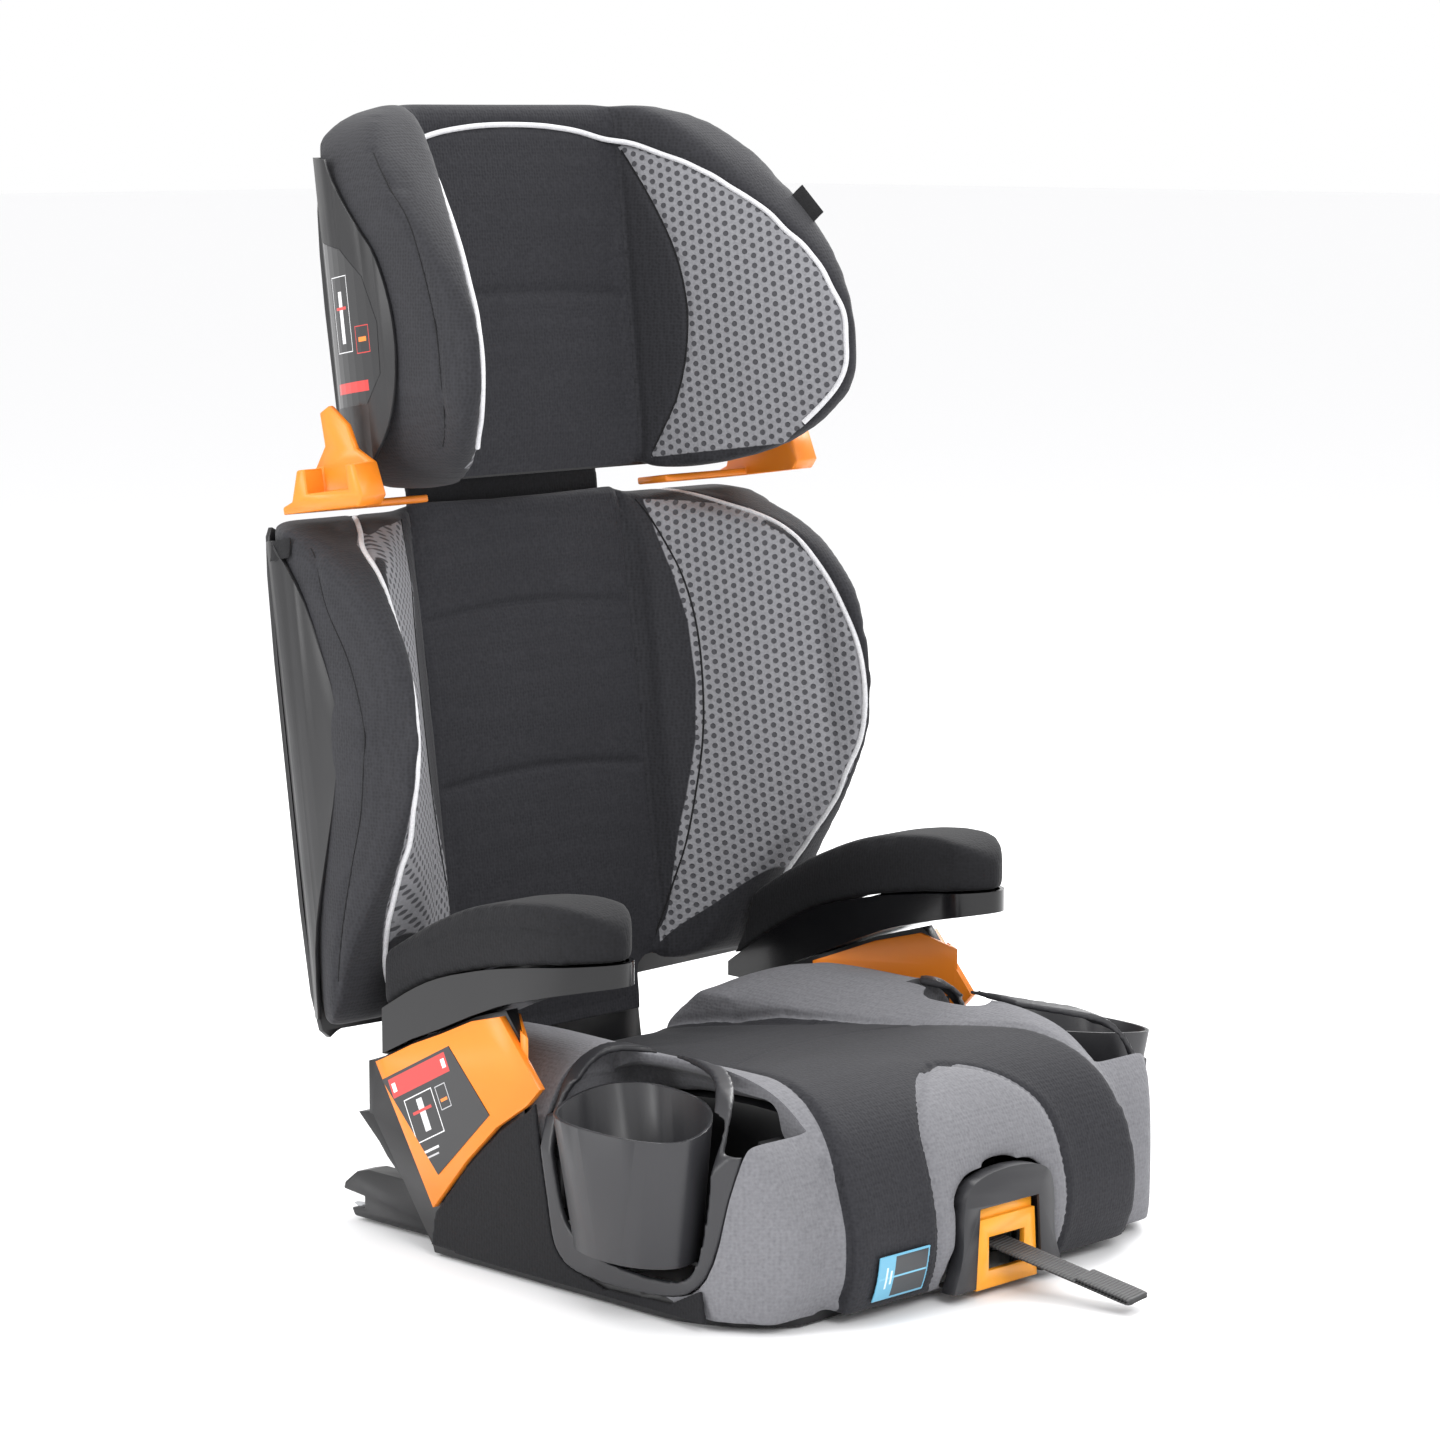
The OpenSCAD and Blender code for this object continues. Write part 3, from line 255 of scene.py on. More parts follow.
def filmLabel(name, corner, across, down, boxes, ground="#161618"):
    # glossy printed film: black ground with plain blocks of colour, no words
    material, tree, surface, place = newMaterial(name, Roughness=0.28, Coat_Weight=0.3, Coat_Roughness=0.1)
    start = addNode(tree, "ShaderNodeVectorMath", {0: place, 1: corner}, operation="SUBTRACT").outputs[0]
    runs = [addNode(tree, "ShaderNodeVectorMath", {0: start, 1: way},
                    operation="DOT_PRODUCT").outputs["Value"] for way in (across, down)]
    color = hexColor(ground)
    for spot, size, tone in boxes:
        mask = boxMask(tree, runs[0], runs[1], spot, size)
        color = colorMix(tree, mask, color, hexColor(tone))
    tree.links.new(color, surface.inputs["Base Color"])
    return material


lapFilm = filmLabel("printedLapLabelFilm", (0, 0.082, 0.144), (0, 0.894, -0.447), (0, -0.447, -0.894), [
    ((0.037, 0.0085), (0.062, 0.013), "#c9302c"), ((0.010, 0.0085), (0.004, 0.006), "#f2f2f2"),
    ((0.064, 0.0085), (0.004, 0.006), "#f2f2f2"), ((0.044, 0.034), (0.030, 0.030), "#e9e9ea"),
    ((0.044, 0.034), (0.0286, 0.0286), "#161618"), ((0.044, 0.033), (0.006, 0.022), "#dddddf"),
    ((0.044, 0.030), (0.020, 0.002), "#c9302c"), ((0.020, 0.028), (0.011, 0.016), "#b9b9bc"),
    ((0.020, 0.028), (0.0098, 0.0148), "#161618"), ((0.020, 0.030), (0.007, 0.002), "#f08324"),
    ((0.050, 0.056), (0.022, 0.0016), "#dddddf"), ((0.050, 0.060), (0.018, 0.0012), "#bdbdc0")])
labelFilm = filmLabel("printedHeadLabelFilm", (0, 0.2406, 0.6539), (0, -0.99, 0.139), (0, -0.139, -0.99), [
    ((0.026, 0.050), (0.022, 0.050), "#dddddf"), ((0.026, 0.050), (0.0208, 0.0488), "#161618"),
    ((0.026, 0.052), (0.005, 0.034), "#dddddf"), ((0.026, 0.046), (0.014, 0.002), "#c9302c"),
    ((0.050, 0.068), (0.016, 0.018), "#c9302c"), ((0.050, 0.068), (0.0148, 0.0168), "#161618"),
    ((0.050, 0.068), (0.009, 0.003), "#f08324"), ((0.030, 0.098), (0.044, 0.007), "#c9302c")])
patchWeave = filmLabel("bluePatchWeave", (-0.118, 0, 0.044), (1, 0, 0), (0, 0, -1), [
    ((0.0295, 0.015), (0.0295, 0.0265), "#22272c"), ((0.023, 0.015), (0.042, 0.0012), "#6fb4cf"),
    ((0.008, 0.015), (0.0016, 0.014), "#cfe3ea"), ((0.012, 0.015), (0.0016, 0.009), "#cfe3ea")], "#5fa6c4")
tagWeave = knitFabric("blackTagWeave", "#1b1b1d", "#101012", loop=0.9, sheen=0.1)
print("materials ready")


lean = {"angle": 8, "y": 212, "z": 48}  # the backrest's frame: degrees, and its pivot in millimetres


def leanPoint(x, y, z):  # millimetres in the backrest's leaning frame, to metres
    a = math.radians(lean["angle"])
    return Vector((x, lean["y"] + y * math.cos(a) + z * math.sin(a),
                   lean["z"] - y * math.sin(a) + z * math.cos(a))) / 1000


def leanBack(p):  # the other way round
    a = math.radians(lean["angle"])
    y, z = p.y * 1000 - lean["y"], p.z * 1000 - lean["z"]
    return Vector((p.x * 1000, y * math.cos(a) - z * math.sin(a), y * math.sin(a) + z * math.cos(a)))


def smoothLine(points, step=0.002):  # even points on a smooth curve through a few
    points = [Vector(p) for p in points]
    dense = []
    for i in range(len(points) - 1):
        a, b = points[max(i - 1, 0)], points[i]
        c, d = points[i + 1], points[min(i + 2, len(points) - 1)]
        for k in range(12):
            t = k / 12
            dense.append(0.5 * (2 * b + (c - a) * t + (2 * a - 5 * b + 4 * c - d) * t * t
                                + (3 * b - a - 3 * c + d) * t ** 3))
    dense.append(points[-1])
    out, carried = [dense[0]], 0.0
    for p, q in zip(dense, dense[1:]):
        length = (q - p).length
        while carried + length >= step:
            p = p.lerp(q, (step - carried) / length)
            length = (q - p).length
            out.append(p.copy())
            carried = 0.0
            if length < 1e-9:
                break
        carried += length
    return out


def closedCurve(points, steps=4):  # smooth closed outline through a few points
    out, n = [], len(points)
    for i in range(n):
        a, b, c, d = (points[(i + k) % n] for k in (-1, 0, 1, 2))
        for t in [k / steps for k in range(steps)]:
            out.append(0.5 * (2 * b + (c - a) * t + (2 * a - 5 * b + 4 * c - d) * t * t
                              + (3 * b - a - 3 * c + d) * t ** 3))
    return out


def newObject(name, mesh):
    piece = bpy.data.objects.new(name, mesh)
    bpy.context.scene.collection.objects.link(piece)
    return piece


def bakeModifiers(piece):
    graph = bpy.context.evaluated_depsgraph_get()
    done = bpy.data.meshes.new_from_object(piece.evaluated_get(graph))
    piece.modifiers.clear()
    piece.data = done


def mergedCopy(node, name, flatten=True):
    piece = newObject(name, nodes[node].data.copy())
    piece.data.materials.clear()
    bm = bmesh.new()
    bm.from_mesh(piece.data)
    bmesh.ops.remove_doubles(bm, verts=bm.verts, dist=0.00002)
    if flatten:
        bmesh.ops.dissolve_limit(bm, angle_limit=math.radians(1.5), verts=bm.verts, edges=bm.edges)
    bmesh.ops.recalc_face_normals(bm, faces=bm.faces)
    bm.to_mesh(piece.data)
    bm.free()
    return piece


def finishPiece(piece, body, material, slotName, *replaced):
    if isinstance(material, bpy.types.Material):
        piece.data.materials.clear()
        piece.data.materials.append(material)
    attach(piece, body)
    if replaced:
        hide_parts(*replaced)
    return piece


def shadeByAngle(piece, degrees):
    bm = bmesh.new()
    bm.from_mesh(piece.data)
    for face in bm.faces:
        face.smooth = True
    for edge in bm.edges:
        edge.smooth = len(edge.link_faces) == 2 and edge.calc_face_angle(0) < math.radians(degrees)
    bm.to_mesh(piece.data)
    bm.free()


def hardPart(node, name, body, material, slotName, edge):
    # moulded piece: the CAD shape with small rounded edges
    piece = mergedCopy(node, name)
    if not edge:
        shadeByAngle(piece, 38)
        return finishPiece(piece, body, material, slotName, node)
    rounding = piece.modifiers.new("edges", "BEVEL")
    rounding.width = edge
    rounding.segments = 2
    rounding.limit_method = "ANGLE"
    rounding.angle_limit = math.radians(32)
    rounding.harden_normals = True
    rounding.use_clamp_overlap = True
    bakeModifiers(piece)
    shadeByAngle(piece, 40)
    return finishPiece(piece, body, material, slotName, node)


def pipeAlong(name, points, radius, body, material, slotName, onto, sink):
    # round bead laid on a surface along a line
    line = []
    for p in smoothLine(points):
        hit, normal, _, _ = onto.find_nearest(p)
        line.append(hit + normal * radius * (1 - 2 * sink))
    for _ in range(30):  # evens out the facets of the surface
        middle = [(a + 2 * b + c) / 4 for a, b, c in zip(line, line[1:], line[2:])]
        line = [line[0]] + middle + [line[-1]]
    data = bpy.data.curves.new(name, "CURVE")
    data.dimensions = "3D"
    data.bevel_depth = radius
    data.bevel_resolution = 3
    data.use_fill_caps = True
    spline = data.splines.new("POLY")
    spline.points.add(len(line) - 1)
    for point, p in zip(spline.points, line):
        point.co = (*p, 1)
    curve = newObject(name + "Line", data)
    graph = bpy.context.evaluated_depsgraph_get()
    piece = newObject(name, bpy.data.meshes.new_from_object(curve.evaluated_get(graph)))
    bpy.data.objects.remove(curve)
    shadeByAngle(piece, 60)
    return finishPiece(piece, body, material, slotName)


def grooveMesh(piece, lines, depth, width):
    # draws the surface in along sewn seams
    tree = KDTree(sum(len(line) for line in lines))
    for i, p in enumerate(p for line in lines for p in line):
        tree.insert(p, i)
    tree.balance()
    bm = bmesh.new()
    bm.from_mesh(piece.data)
    bm.normal_update()
    moves = []
    for v in bm.verts:
        distance = tree.find(v.co)[2]
        if distance < width * 3:
            moves.append((v, v.normal * -depth * math.exp(-(distance / width) ** 2)))
    for v, move in moves:
        v.co += move
    bm.to_mesh(piece.data)
    bm.free()


def remeshed(piece, size):
    voxels = piece.modifiers.new("voxels", "REMESH")
    voxels.mode = "VOXEL"
    voxels.voxel_size = size
    bakeModifiers(piece)


def relax(bm, times):
    for _ in range(times):
        bmesh.ops.smooth_vert(bm, verts=bm.verts, factor=0.5, use_axis_x=True, use_axis_y=True,
                              use_axis_z=True)


stuffing = {"frames": 20, "quality": 4, "mass": 0.25, "stiffness": 22, "shear": 8, "bending": 0.6}


def softPart(fromNodes, name, settings, seams=(), held=None):
    # padded piece: plain solids joined and remeshed, rounded, blown up like foam under a cover, sewn
    fromNodes = [fromNodes] if isinstance(fromNodes, str) else fromNodes
    voxel = settings.get("voxel", 0.005)
    joined = bmesh.new()
    for node in fromNodes:
        part = mergedCopy(node, name, flatten=False)
        joined.from_mesh(part.data)
        bpy.data.objects.remove(part)
    if len(fromNodes) > 1:  # closes the hairline gaps between neighbours
        joined.normal_update()
        for v in joined.verts:
            v.co += v.normal * 0.0009
    mesh = bpy.data.meshes.new(name)
    joined.to_mesh(mesh)
    joined.free()
    piece = newObject(name, mesh)
    remeshed(piece, voxel)
    bm = bmesh.new()
    bm.from_mesh(piece.data)
    relax(bm, settings.get("rounding", 6))
    bm.normal_update()
    for v in bm.verts:
        v.co -= v.normal * settings.get("shrink", 0.001)
    start = [v.co.copy() for v in bm.verts]
    bm.to_mesh(piece.data)
    bm.free()
    cap = settings.get("cap", 0.006)
    if cap > 0:
        tree = None
        if seams:
            points = [p for line in seams for p in line]
            tree = KDTree(len(points))
            for i, p in enumerate(points):
                tree.insert(p, i)
            tree.balance()
        # what faces a hollow or the ground is backed by the shell and stays
        skin, reach = surfaceOf(piece), settings.get("reach", 0.06)
        normals = [v.normal.copy() for v in piece.data.vertices]
        pinned = piece.vertex_groups.new(name="sewn")
        for i, (p, n) in enumerate(zip(start, normals)):
            hidden = n.z < -0.5 or skin.ray_cast(p + n * 0.0015, n, reach)[0] is not None
            if hidden or (held and held(p)) or (tree and tree.find(p)[2] < voxel * 0.9):
                pinned.add([i], 1.0, "REPLACE")
        cloth = piece.modifiers.new("cover", "CLOTH")
        cloth.settings.quality = stuffing["quality"]
        cloth.settings.mass = stuffing["mass"]
        cloth.settings.tension_stiffness = stuffing["stiffness"]
        cloth.settings.compression_stiffness = stuffing["stiffness"]
        cloth.settings.shear_stiffness = stuffing["shear"]
        cloth.settings.bending_stiffness = stuffing["bending"]
        cloth.settings.use_pressure = True
        cloth.settings.uniform_pressure_force = settings.get("pressure", 4)
        cloth.settings.effector_weights.gravity = 0
        cloth.settings.vertex_group_mass = "sewn"
        cloth.collision_settings.use_collision = False
        for frameNumber in range(1, stuffing["frames"] + 1):
            bpy.context.scene.frame_set(frameNumber)
        bakeModifiers(piece)
        bpy.context.scene.frame_set(1)
        for v, p in zip(piece.data.vertices, start):
            move = v.co - p
            if move.length > cap:
                v.co = p + move * (cap / move.length)
        piece.vertex_groups.clear()
    if settings.get("fine", True):
        fine = piece.modifiers.new("fine", "SUBSURF")
        fine.levels = fine.render_levels = 1
        bakeModifiers(piece)
    if seams:
        grooveMesh(piece, seams, settings.get("seamDepth", 0.0022), settings.get("seamWidth", 0.0026))
    for polygon in piece.data.polygons:
        polygon.use_smooth = True
    return piece


def sliceOf(cover, name, *planes):
    # one panel of a cover: what lies behind each plane, closed along its seam
    piece = newObject(name, cover.data.copy())
    bm = bmesh.new()
    bm.from_mesh(piece.data)
    for point, way in planes:
        bmesh.ops.bisect_plane(bm, geom=bm.verts[:] + bm.edges[:] + bm.faces[:], plane_co=point,
                               plane_no=way, clear_outer=True)
        cutEdges = [edge for edge in bm.edges if edge.is_boundary]
        bmesh.ops.holes_fill(bm, edges=cutEdges, sides=0)
    bm.to_mesh(piece.data)
    bm.free()
    shadeByAngle(piece, 62)
    return piece


def prismOf(name, outline, move):
    # closed outline pushed along a direction
    mesh = bpy.data.meshes.new(name)
    bm = bmesh.new()
    face = bm.faces.new([bm.verts.new(p) for p in outline])
    out = bmesh.ops.extrude_face_region(bm, geom=[face])
    bmesh.ops.translate(bm, vec=move, verts=[g for g in out["geom"] if isinstance(g, bmesh.types.BMVert)])
    bmesh.ops.recalc_face_normals(bm, faces=bm.faces)
    bm.to_mesh(mesh)
    bm.free()
    return newObject(name, mesh)


def cutOf(cover, name, *cuts):
    # one panel of a cover, cut out along curved seams
    piece = newObject(name, cover.data.copy())
    for cutter, operation, solver in cuts:
        cut = piece.modifiers.new("cut", "BOOLEAN")
        cut.object = cutter
        cut.operation = operation
        cut.solver = solver
    bakeModifiers(piece)
    shadeByAngle(piece, 62)
    return piece


def surfaceOf(piece):
    bm = bmesh.new()
    bm.from_mesh(piece.data)
    tree = BVHTree.FromBMesh(bm)
    bm.free()
    return tree


def lineOn(surface, points, step=0.002):  # a seam's line laid on a padded surface
    return [surface.find_nearest(p)[0] for p in smoothLine(points, step)]


def castLine(surface, points, way):  # a line drawn on a surface from outside
    way = Vector(way)
    hits = [surface.ray_cast(Vector(p) - way * 0.6, way)[0] for p in points]
    return [hit for hit in hits if hit is not None]


# CAD node: piece, body, material, slot, rounded edge in metres (0 keeps the edge sharp)
hardPieces = {
    "base_shell": ("baseShell", "base", shellPlastic, "moulded_black", 0.0012),
    "back_shell": ("backShell", "back", shellPlastic, "moulded_black", 0.0012),
    "rear_cover": ("rearCover", "back", shellPlastic, "moulded_black", 0.0010),
    "head_shell": ("headShell", "headrest", shellPlastic, "moulded_black", 0.0012),
    "head_stem": ("headStem", "headrest", shellPlastic, "moulded_black", 0.0008),
    "front_bezel": ("tabSurround", "base", cupPlastic, "moulded_grey", 0.0016),
    "height_handle": ("heightHandle", "height_handle", cupPlastic, "moulded_grey", 0.0014),
    "release_tab": ("releaseTab", "release_tab", amberPlastic, "amber_plastic", 0.0011),
}
for side in sides:
    low = side.lower()
    hardPieces.update({
        f"armrest_tray_{low}": (f"armrestTray{side}", "base", trayPlastic, "gloss_black", 0),
        f"lap_guide_{low}": (f"lapGuide{side}", "base", orangePlastic, "orange_plastic", 0.0009),
        f"belt_guide_{low}": (f"beltGuide{side}", "headrest", orangePlastic, "orange_plastic", 0.0012),
        f"latch_{low}": (f"anchorConnector{side}", f"connector_{low}", shellPlastic, "moulded_black",
                         0.0012),
        f"latch_button_{low}": (f"connectorButton{side}", f"latch_button_{low}", buttonPlastic,
                                "button_red", 0.0006),
        f"cup_{low}": (f"cupHolder{side}", f"cup_{low}", cupPlastic, "moulded_grey", 0.0009),
    })
for node, (name, body, material, slotName, edge) in hardPieces.items():
    hardPart(node, name, body, material, slotName, edge)

# CAD nodes whose own shape is kept
carried = {zincSteel: ["cup_hinge_pins", "recline_bar", "tab_pin", "strap_adjuster", "base_screws",
                       "cover_screws", "latch_jaw_left", "latch_jaw_right"],
           nylonPlastic: ["notch_rack", "height_pawl"], footRubber: ["base_feet"],
           labelFilm: ["head_label_left", "head_label_right"],
           lapFilm: ["lap_label_left", "lap_label_right"]}
surroundSettings = {"voxel": 0.0012, "rounding": 4, "cap": 0, "shrink": 0.0, "fine": False}
for side in sides:
    node = f"cup_bezel_{side.lower()}"
    surround = softPart(node, f"cupSurround{side}", surroundSettings)
    finishPiece(surround, "base", cupPlastic, "moulded_grey", node)
for material, names in carried.items():
    for node in names:
        nodes[node].data.materials.clear()
        nodes[node].data.materials.append(material)
print("hard pieces ready")

# the seat: one stuffed cover, cut along its seams into cushion, bib and bolsters
seatSettings = {"reach": 0.11, "voxel": 0.005, "rounding": 5, "cap": 0.005, "pressure": 4, "shrink": 0.0018,
                "seamDepth": 0.0030, "seamWidth": 0.0030}
panelEdge = smoothLine([Vector(p) / 1000 for p in ((74, 172, 0), (84, 60, 0), (92, -43, 0), (106, -103, 0),
                                                   (123, -158, 0), (134, -194, 0), (142, -230, 0))])
bibHalf = [Vector((59, 0, 8)) / 1000] + smoothLine([Vector(p) / 1000 for p in (
    (59, 0, 8), (62, 0, 50), (60, 0, 98), (50, 0, 118), (30, 0, 131), (0, 0, 137))], 0.004)
bibArch = bibHalf + [Vector((-p.x, 0, p.z)) for p in reversed(bibHalf)]
seatNodes = ["seat_pad", "thigh_bolster_left", "thigh_bolster_right", "front_bib", "cup_bezel_left",
             "cup_bezel_right"]
bezelOutline = [Vector(p) / 1000 for p in (
    (0, 2.4, 132), (0, -7.6, 60), (0, -19.6, 23.6), (0, -60, 14.6), (0, -120, 17.6), (0, -148.4, 33.6),
    (0, -162.4, 84), (0, -170.4, 122), (0, -168.4, 160.4), (0, -90, 170.4), (0, -18, 162.4))]
seatCuts = {"sideSeam": 0.136, "seamLean": 0.02, "leanFrom": 0.09, "panelFront": -0.196, "half": 0.07,
            "pocketAt": 0.137, "pocketDeep": 0.12, "bibAt": -0.30, "bibDeep": 0.145, "below": -0.02,
            "tall": 0.4}
rough = softPart(seatNodes, "roughSeat", {**seatSettings, "cap": 0, "fine": False})
surface = surfaceOf(rough)
seatSeams = []
for sign in (-1, 1):
    seatSeams.append(castLine(surface, [(sign * p.x, p.y, 0) for p in panelEdge
                                        if p.y > seatCuts["panelFront"]],
                              (0, 0, -1)))
    seatSeams.append(castLine(surface, [
        (sign * (seatCuts["sideSeam"] - seatCuts["seamLean"] * max(0, z - seatCuts["leanFrom"])), 0, z)
        for z in [i * 0.002 for i in range(8, 52)]], (0, 1, 0)))
seatSeams.append(castLine(surface, bibArch[2:-2], (0, 1, 0)))
seatCreases = [castLine(surface, smoothLine([Vector(p) / 1000 for p in row]), (0, 0, -1)) for row in (
    [(-84, 30, 0), (-40, 44, 0), (0, 47, 0), (40, 44, 0), (84, 30, 0)],
    [(-92, -56, 0), (-44, -44, 0), (0, -41, 0), (44, -44, 0), (92, -56, 0)])]
bpy.data.objects.remove(rough)
cover = softPart(seatNodes, "seatCover", seatSettings, seams=seatSeams, held=lambda p: p.z < 0.012)
grooveMesh(cover, seatCreases, 0.0016, 0.0024)
panelOutline = [Vector((p.x, p.y, seatCuts["below"])) for p in panelEdge]
panel = prismOf("seatPanelCut", panelOutline + [Vector((-p.x, p.y, p.z)) for p in reversed(panelOutline)],
                (0, 0, seatCuts["tall"]))
arch = prismOf("bibCut", [Vector((p.x, seatCuts["bibAt"], p.z if p.z > 0.009 else seatCuts["below"]))
                          for p in bibArch], (0, seatCuts["bibDeep"], 0))
seatCushion = cutOf(cover, "seatCushion", (panel, "INTERSECT", "EXACT"),
                    (arch, "DIFFERENCE", "EXACT"))
finishPiece(seatCushion, "base", charcoalKnit, "charcoal_fabric", "seat_pad")
bib = cutOf(cover, "frontBib", (arch, "INTERSECT", "EXACT"))
finishPiece(bib, "base", greyKnit, "grey_fabric", "front_bib")
for side, sign in sides.items():
    half = sliceOf(cover, "bolsterHalf", (Vector((sign * seatCuts["half"], 0, 0)),
                                          Vector((-sign, 0, 0))))
    pocket = prismOf("pocketCut", [Vector((sign * seatCuts["pocketAt"], p.y, p.z))
                                   for p in closedCurve(bezelOutline)],
                     (sign * seatCuts["pocketDeep"], 0, 0))
    bolster = cutOf(half, f"thighBolster{side}", (panel, "DIFFERENCE", "EXACT"),
                    (pocket, "DIFFERENCE", "FAST"))
    bpy.data.objects.remove(half)
    bpy.data.objects.remove(pocket)
    finishPiece(bolster, "base", greyKnit, "grey_fabric", f"thigh_bolster_{side.lower()}")
for scrap in (cover, panel, arch):
    bpy.data.objects.remove(scrap)
print("seat ready")

# backrest and headrest: seams as (out, back, up) in millimetres, in the leaning frame
backPiping = [(135, -13, 426), (180, -79, 404), (193, -103, 383), (199, -119, 362), (203, -130, 341),
              (206, -138, 320), (208, -144, 299), (208, -146, 276), (209, -144, 255), (209, -138, 234),
              (207, -128, 212), (205, -115, 191), (200, -97, 169), (192, -75, 147), (181, -49, 123),
              (166, -28, 104)]
backSeam = [(106, -36, 423), (118, -43, 398), (129, -52, 365), (135, -57, 328), (135, -58, 285),
            (132, -55, 243), (124, -48, 201), (113, -40, 159), (98, -32, 122), (92, -14, 86)]
headPiping = [(0, -61, 681), (57, -62, 677), (86, -63, 670), (98, -78, 664), (112, -105, 651),
              (127, -130, 633), (138, -151, 616), (147, -168, 599), (155, -182, 582), (160, -190, 566),
              (164, -196, 550), (166, -200, 534), (167, -201, 519), (166, -200, 503), (164, -197, 487),
              (159, -188, 472), (150, -169, 458)]
headSeam = [(97, -64, 665), (102, -78, 639), (107, -91, 608), (111, -99, 579), (112, -102, 545),
            (110, -97, 511), (106, -88, 484), (101, -76, 464), (97, -64, 446)]
sideSeams = {"back": [(222, y, z) for y, z in (
    (-70, 419), (-83, 369), (-103, 330), (-112, 291), (-109, 266), (-100, 231), (-84, 198), (-65, 158),
    (-49, 115))], "head": [(188, y, z) for y, z in (
        (-120, 674), (-128, 654), (-144, 635), (-157, 614), (-166, 587), (-173, 556), (-176, 530),
        (-175, 498), (-167, 469), (-152, 444))]}
rows = {"back": [(231, 8), (346, 8), (482, 4)], "head": [(562, 5)]}
coverSettings = {"voxel": 0.005, "rounding": 8, "cap": 0.006, "pressure": 4, "shrink": 0.0018,
                 "seamDepth": 0.0024, "seamWidth": 0.0028}
# seams, the mesh inset's lowest and highest point, where pad meets wing, the held rear, the join's ends
spans = {"back": (backSeam, backPiping, 72, 427, 97.5, -17, 84, 424),
         "head": (headSeam, headPiping, 446, 668, 95.5, -48, 440, 690)}


def depthAt(line, z, which=1):  # how far forward, or out, a seam lies at this height
    best = min(range(len(line) - 1), key=lambda i: abs((line[i][2] + line[i + 1][2]) / 2 - z))
    a, b = line[best], line[best + 1]
    t = 0 if a[2] == b[2] else (z - a[2]) / (b[2] - a[2])
    return a[which] + (b[which] - a[which]) * max(-0.5, min(1.5, t))


def markInset(piece, inner, outer, low, high):
    # how far inside the spacer mesh each point is, and the mesh's own flat coordinates
    mesh = piece.data
    inset = mesh.attributes.new("meshInset", "FLOAT", "POINT")
    places = [leanBack(v.co) for v in mesh.vertices]
    for v, p in zip(mesh.vertices, places):
        inset.data[v.index].value = min(depthAt(inner, p.z) - p.y, p.y - depthAt(outer, p.z), p.z - low,
                                        high - p.z, depthAt(outer, p.z, 0) + 3.5 - abs(p.x)) / 1000
    run = mesh.uv_layers.new(name="meshRun")
    for loop in mesh.loops:
        p = places[loop.vertex_index]
        run.data[loop.index].uv = ((abs(p.x) * 0.62 - p.y * 0.78) / 1000, p.z / 1000)


ahead = leanPoint(0, 1, 0) - leanPoint(0, 0, 0)
for part, (inner, outer, low, high, split, heldAt, foot, top) in spans.items():
    body = {"back": "back", "head": "headrest"}[part]
    partNodes = [f"{part}_pad", f"{part}_wing_left", f"{part}_wing_right"]
    rough = softPart(partNodes, "rough", {**coverSettings, "cap": 0, "fine": False})
    surface = surfaceOf(rough)
    joins = [castLine(surface, [leanPoint(sign * split, 0, z) for z in range(foot, top + 1, 2)],
                      ahead.normalized()) for sign in (-1, 1)]
    crossRows = [castLine(surface, [leanPoint(x, 0, z + rise * (1 - (x / split) ** 2))
                                    for x in range(-int(split), int(split) + 1, 2)], ahead.normalized())
                 for z, rise in rows[part]]
    seams = {side: {"piping": lineOn(surface, [leanPoint(sign * x, y, z) for x, y, z in outer]),
                    "inner": lineOn(surface, [leanPoint(sign * x, y, z) for x, y, z in inner]),
                    "roll": lineOn(surface, [leanPoint(sign * x, y, z) for x, y, z in sideSeams[part]])}
             for side, sign in sides.items()}
    bpy.data.objects.remove(rough)
    sewn = joins + crossRows + [seams[side]["piping"] for side in sides]
    cover = softPart(partNodes, f"{part}Cover", coverSettings, seams=sewn,
                     held=lambda p: leanBack(p).y > heldAt)
    grooveMesh(cover, [seams[side][kind] for side in sides for kind in ("inner", "roll")], 0.0013, 0.0022)
    surface = surfaceOf(cover)
    pad = sliceOf(cover, f"{part}Pad", *[(Vector((sign * (split - 0.1) / 1000, 0, 0)),
                                          Vector((sign, 0, 0))) for sign in (-1, 1)])
    finishPiece(pad, body, charcoalKnit, "charcoal_fabric", f"{part}_pad")
    for side, sign in sides.items():
        wing = sliceOf(cover, f"{part}Wing{side}", (Vector((sign * (split + 0.1) / 1000, 0, 0)),
                                                    Vector((-sign, 0, 0))))
        markInset(wing, inner, outer, low, high)
        finishPiece(wing, body, wingKnit, "mesh_fabric", f"{part}_wing_{side.lower()}")
        pipeAlong(f"{part}Seam{side}", seams[side]["inner"][2:-2], 0.0007, body, seamThread,
                  "black_fabric", surface, 0.5)
        pipeAlong(f"{part}RollSeam{side}", seams[side]["roll"][2:-2], 0.0006, body, seamThread,
                  "black_fabric", surface, 0.6)
    if part == "head":
        bead = [leanPoint(-x, y, z) for x, y, z in reversed(outer[1:])] + [
            leanPoint(x, y, z) for x, y, z in outer]
        pipeAlong("headPiping", bead, 0.0019, body, pipingCloth, "mesh_fabric", surface, 0.3)
    else:
        for side, sign in sides.items():
            pipeAlong(f"backPiping{side}", [leanPoint(sign * x, y, z) for x, y, z in outer], 0.0019, body,
                      pipingCloth, "mesh_fabric", surface, 0.3)
    bpy.data.objects.remove(cover)
print("backrest ready")

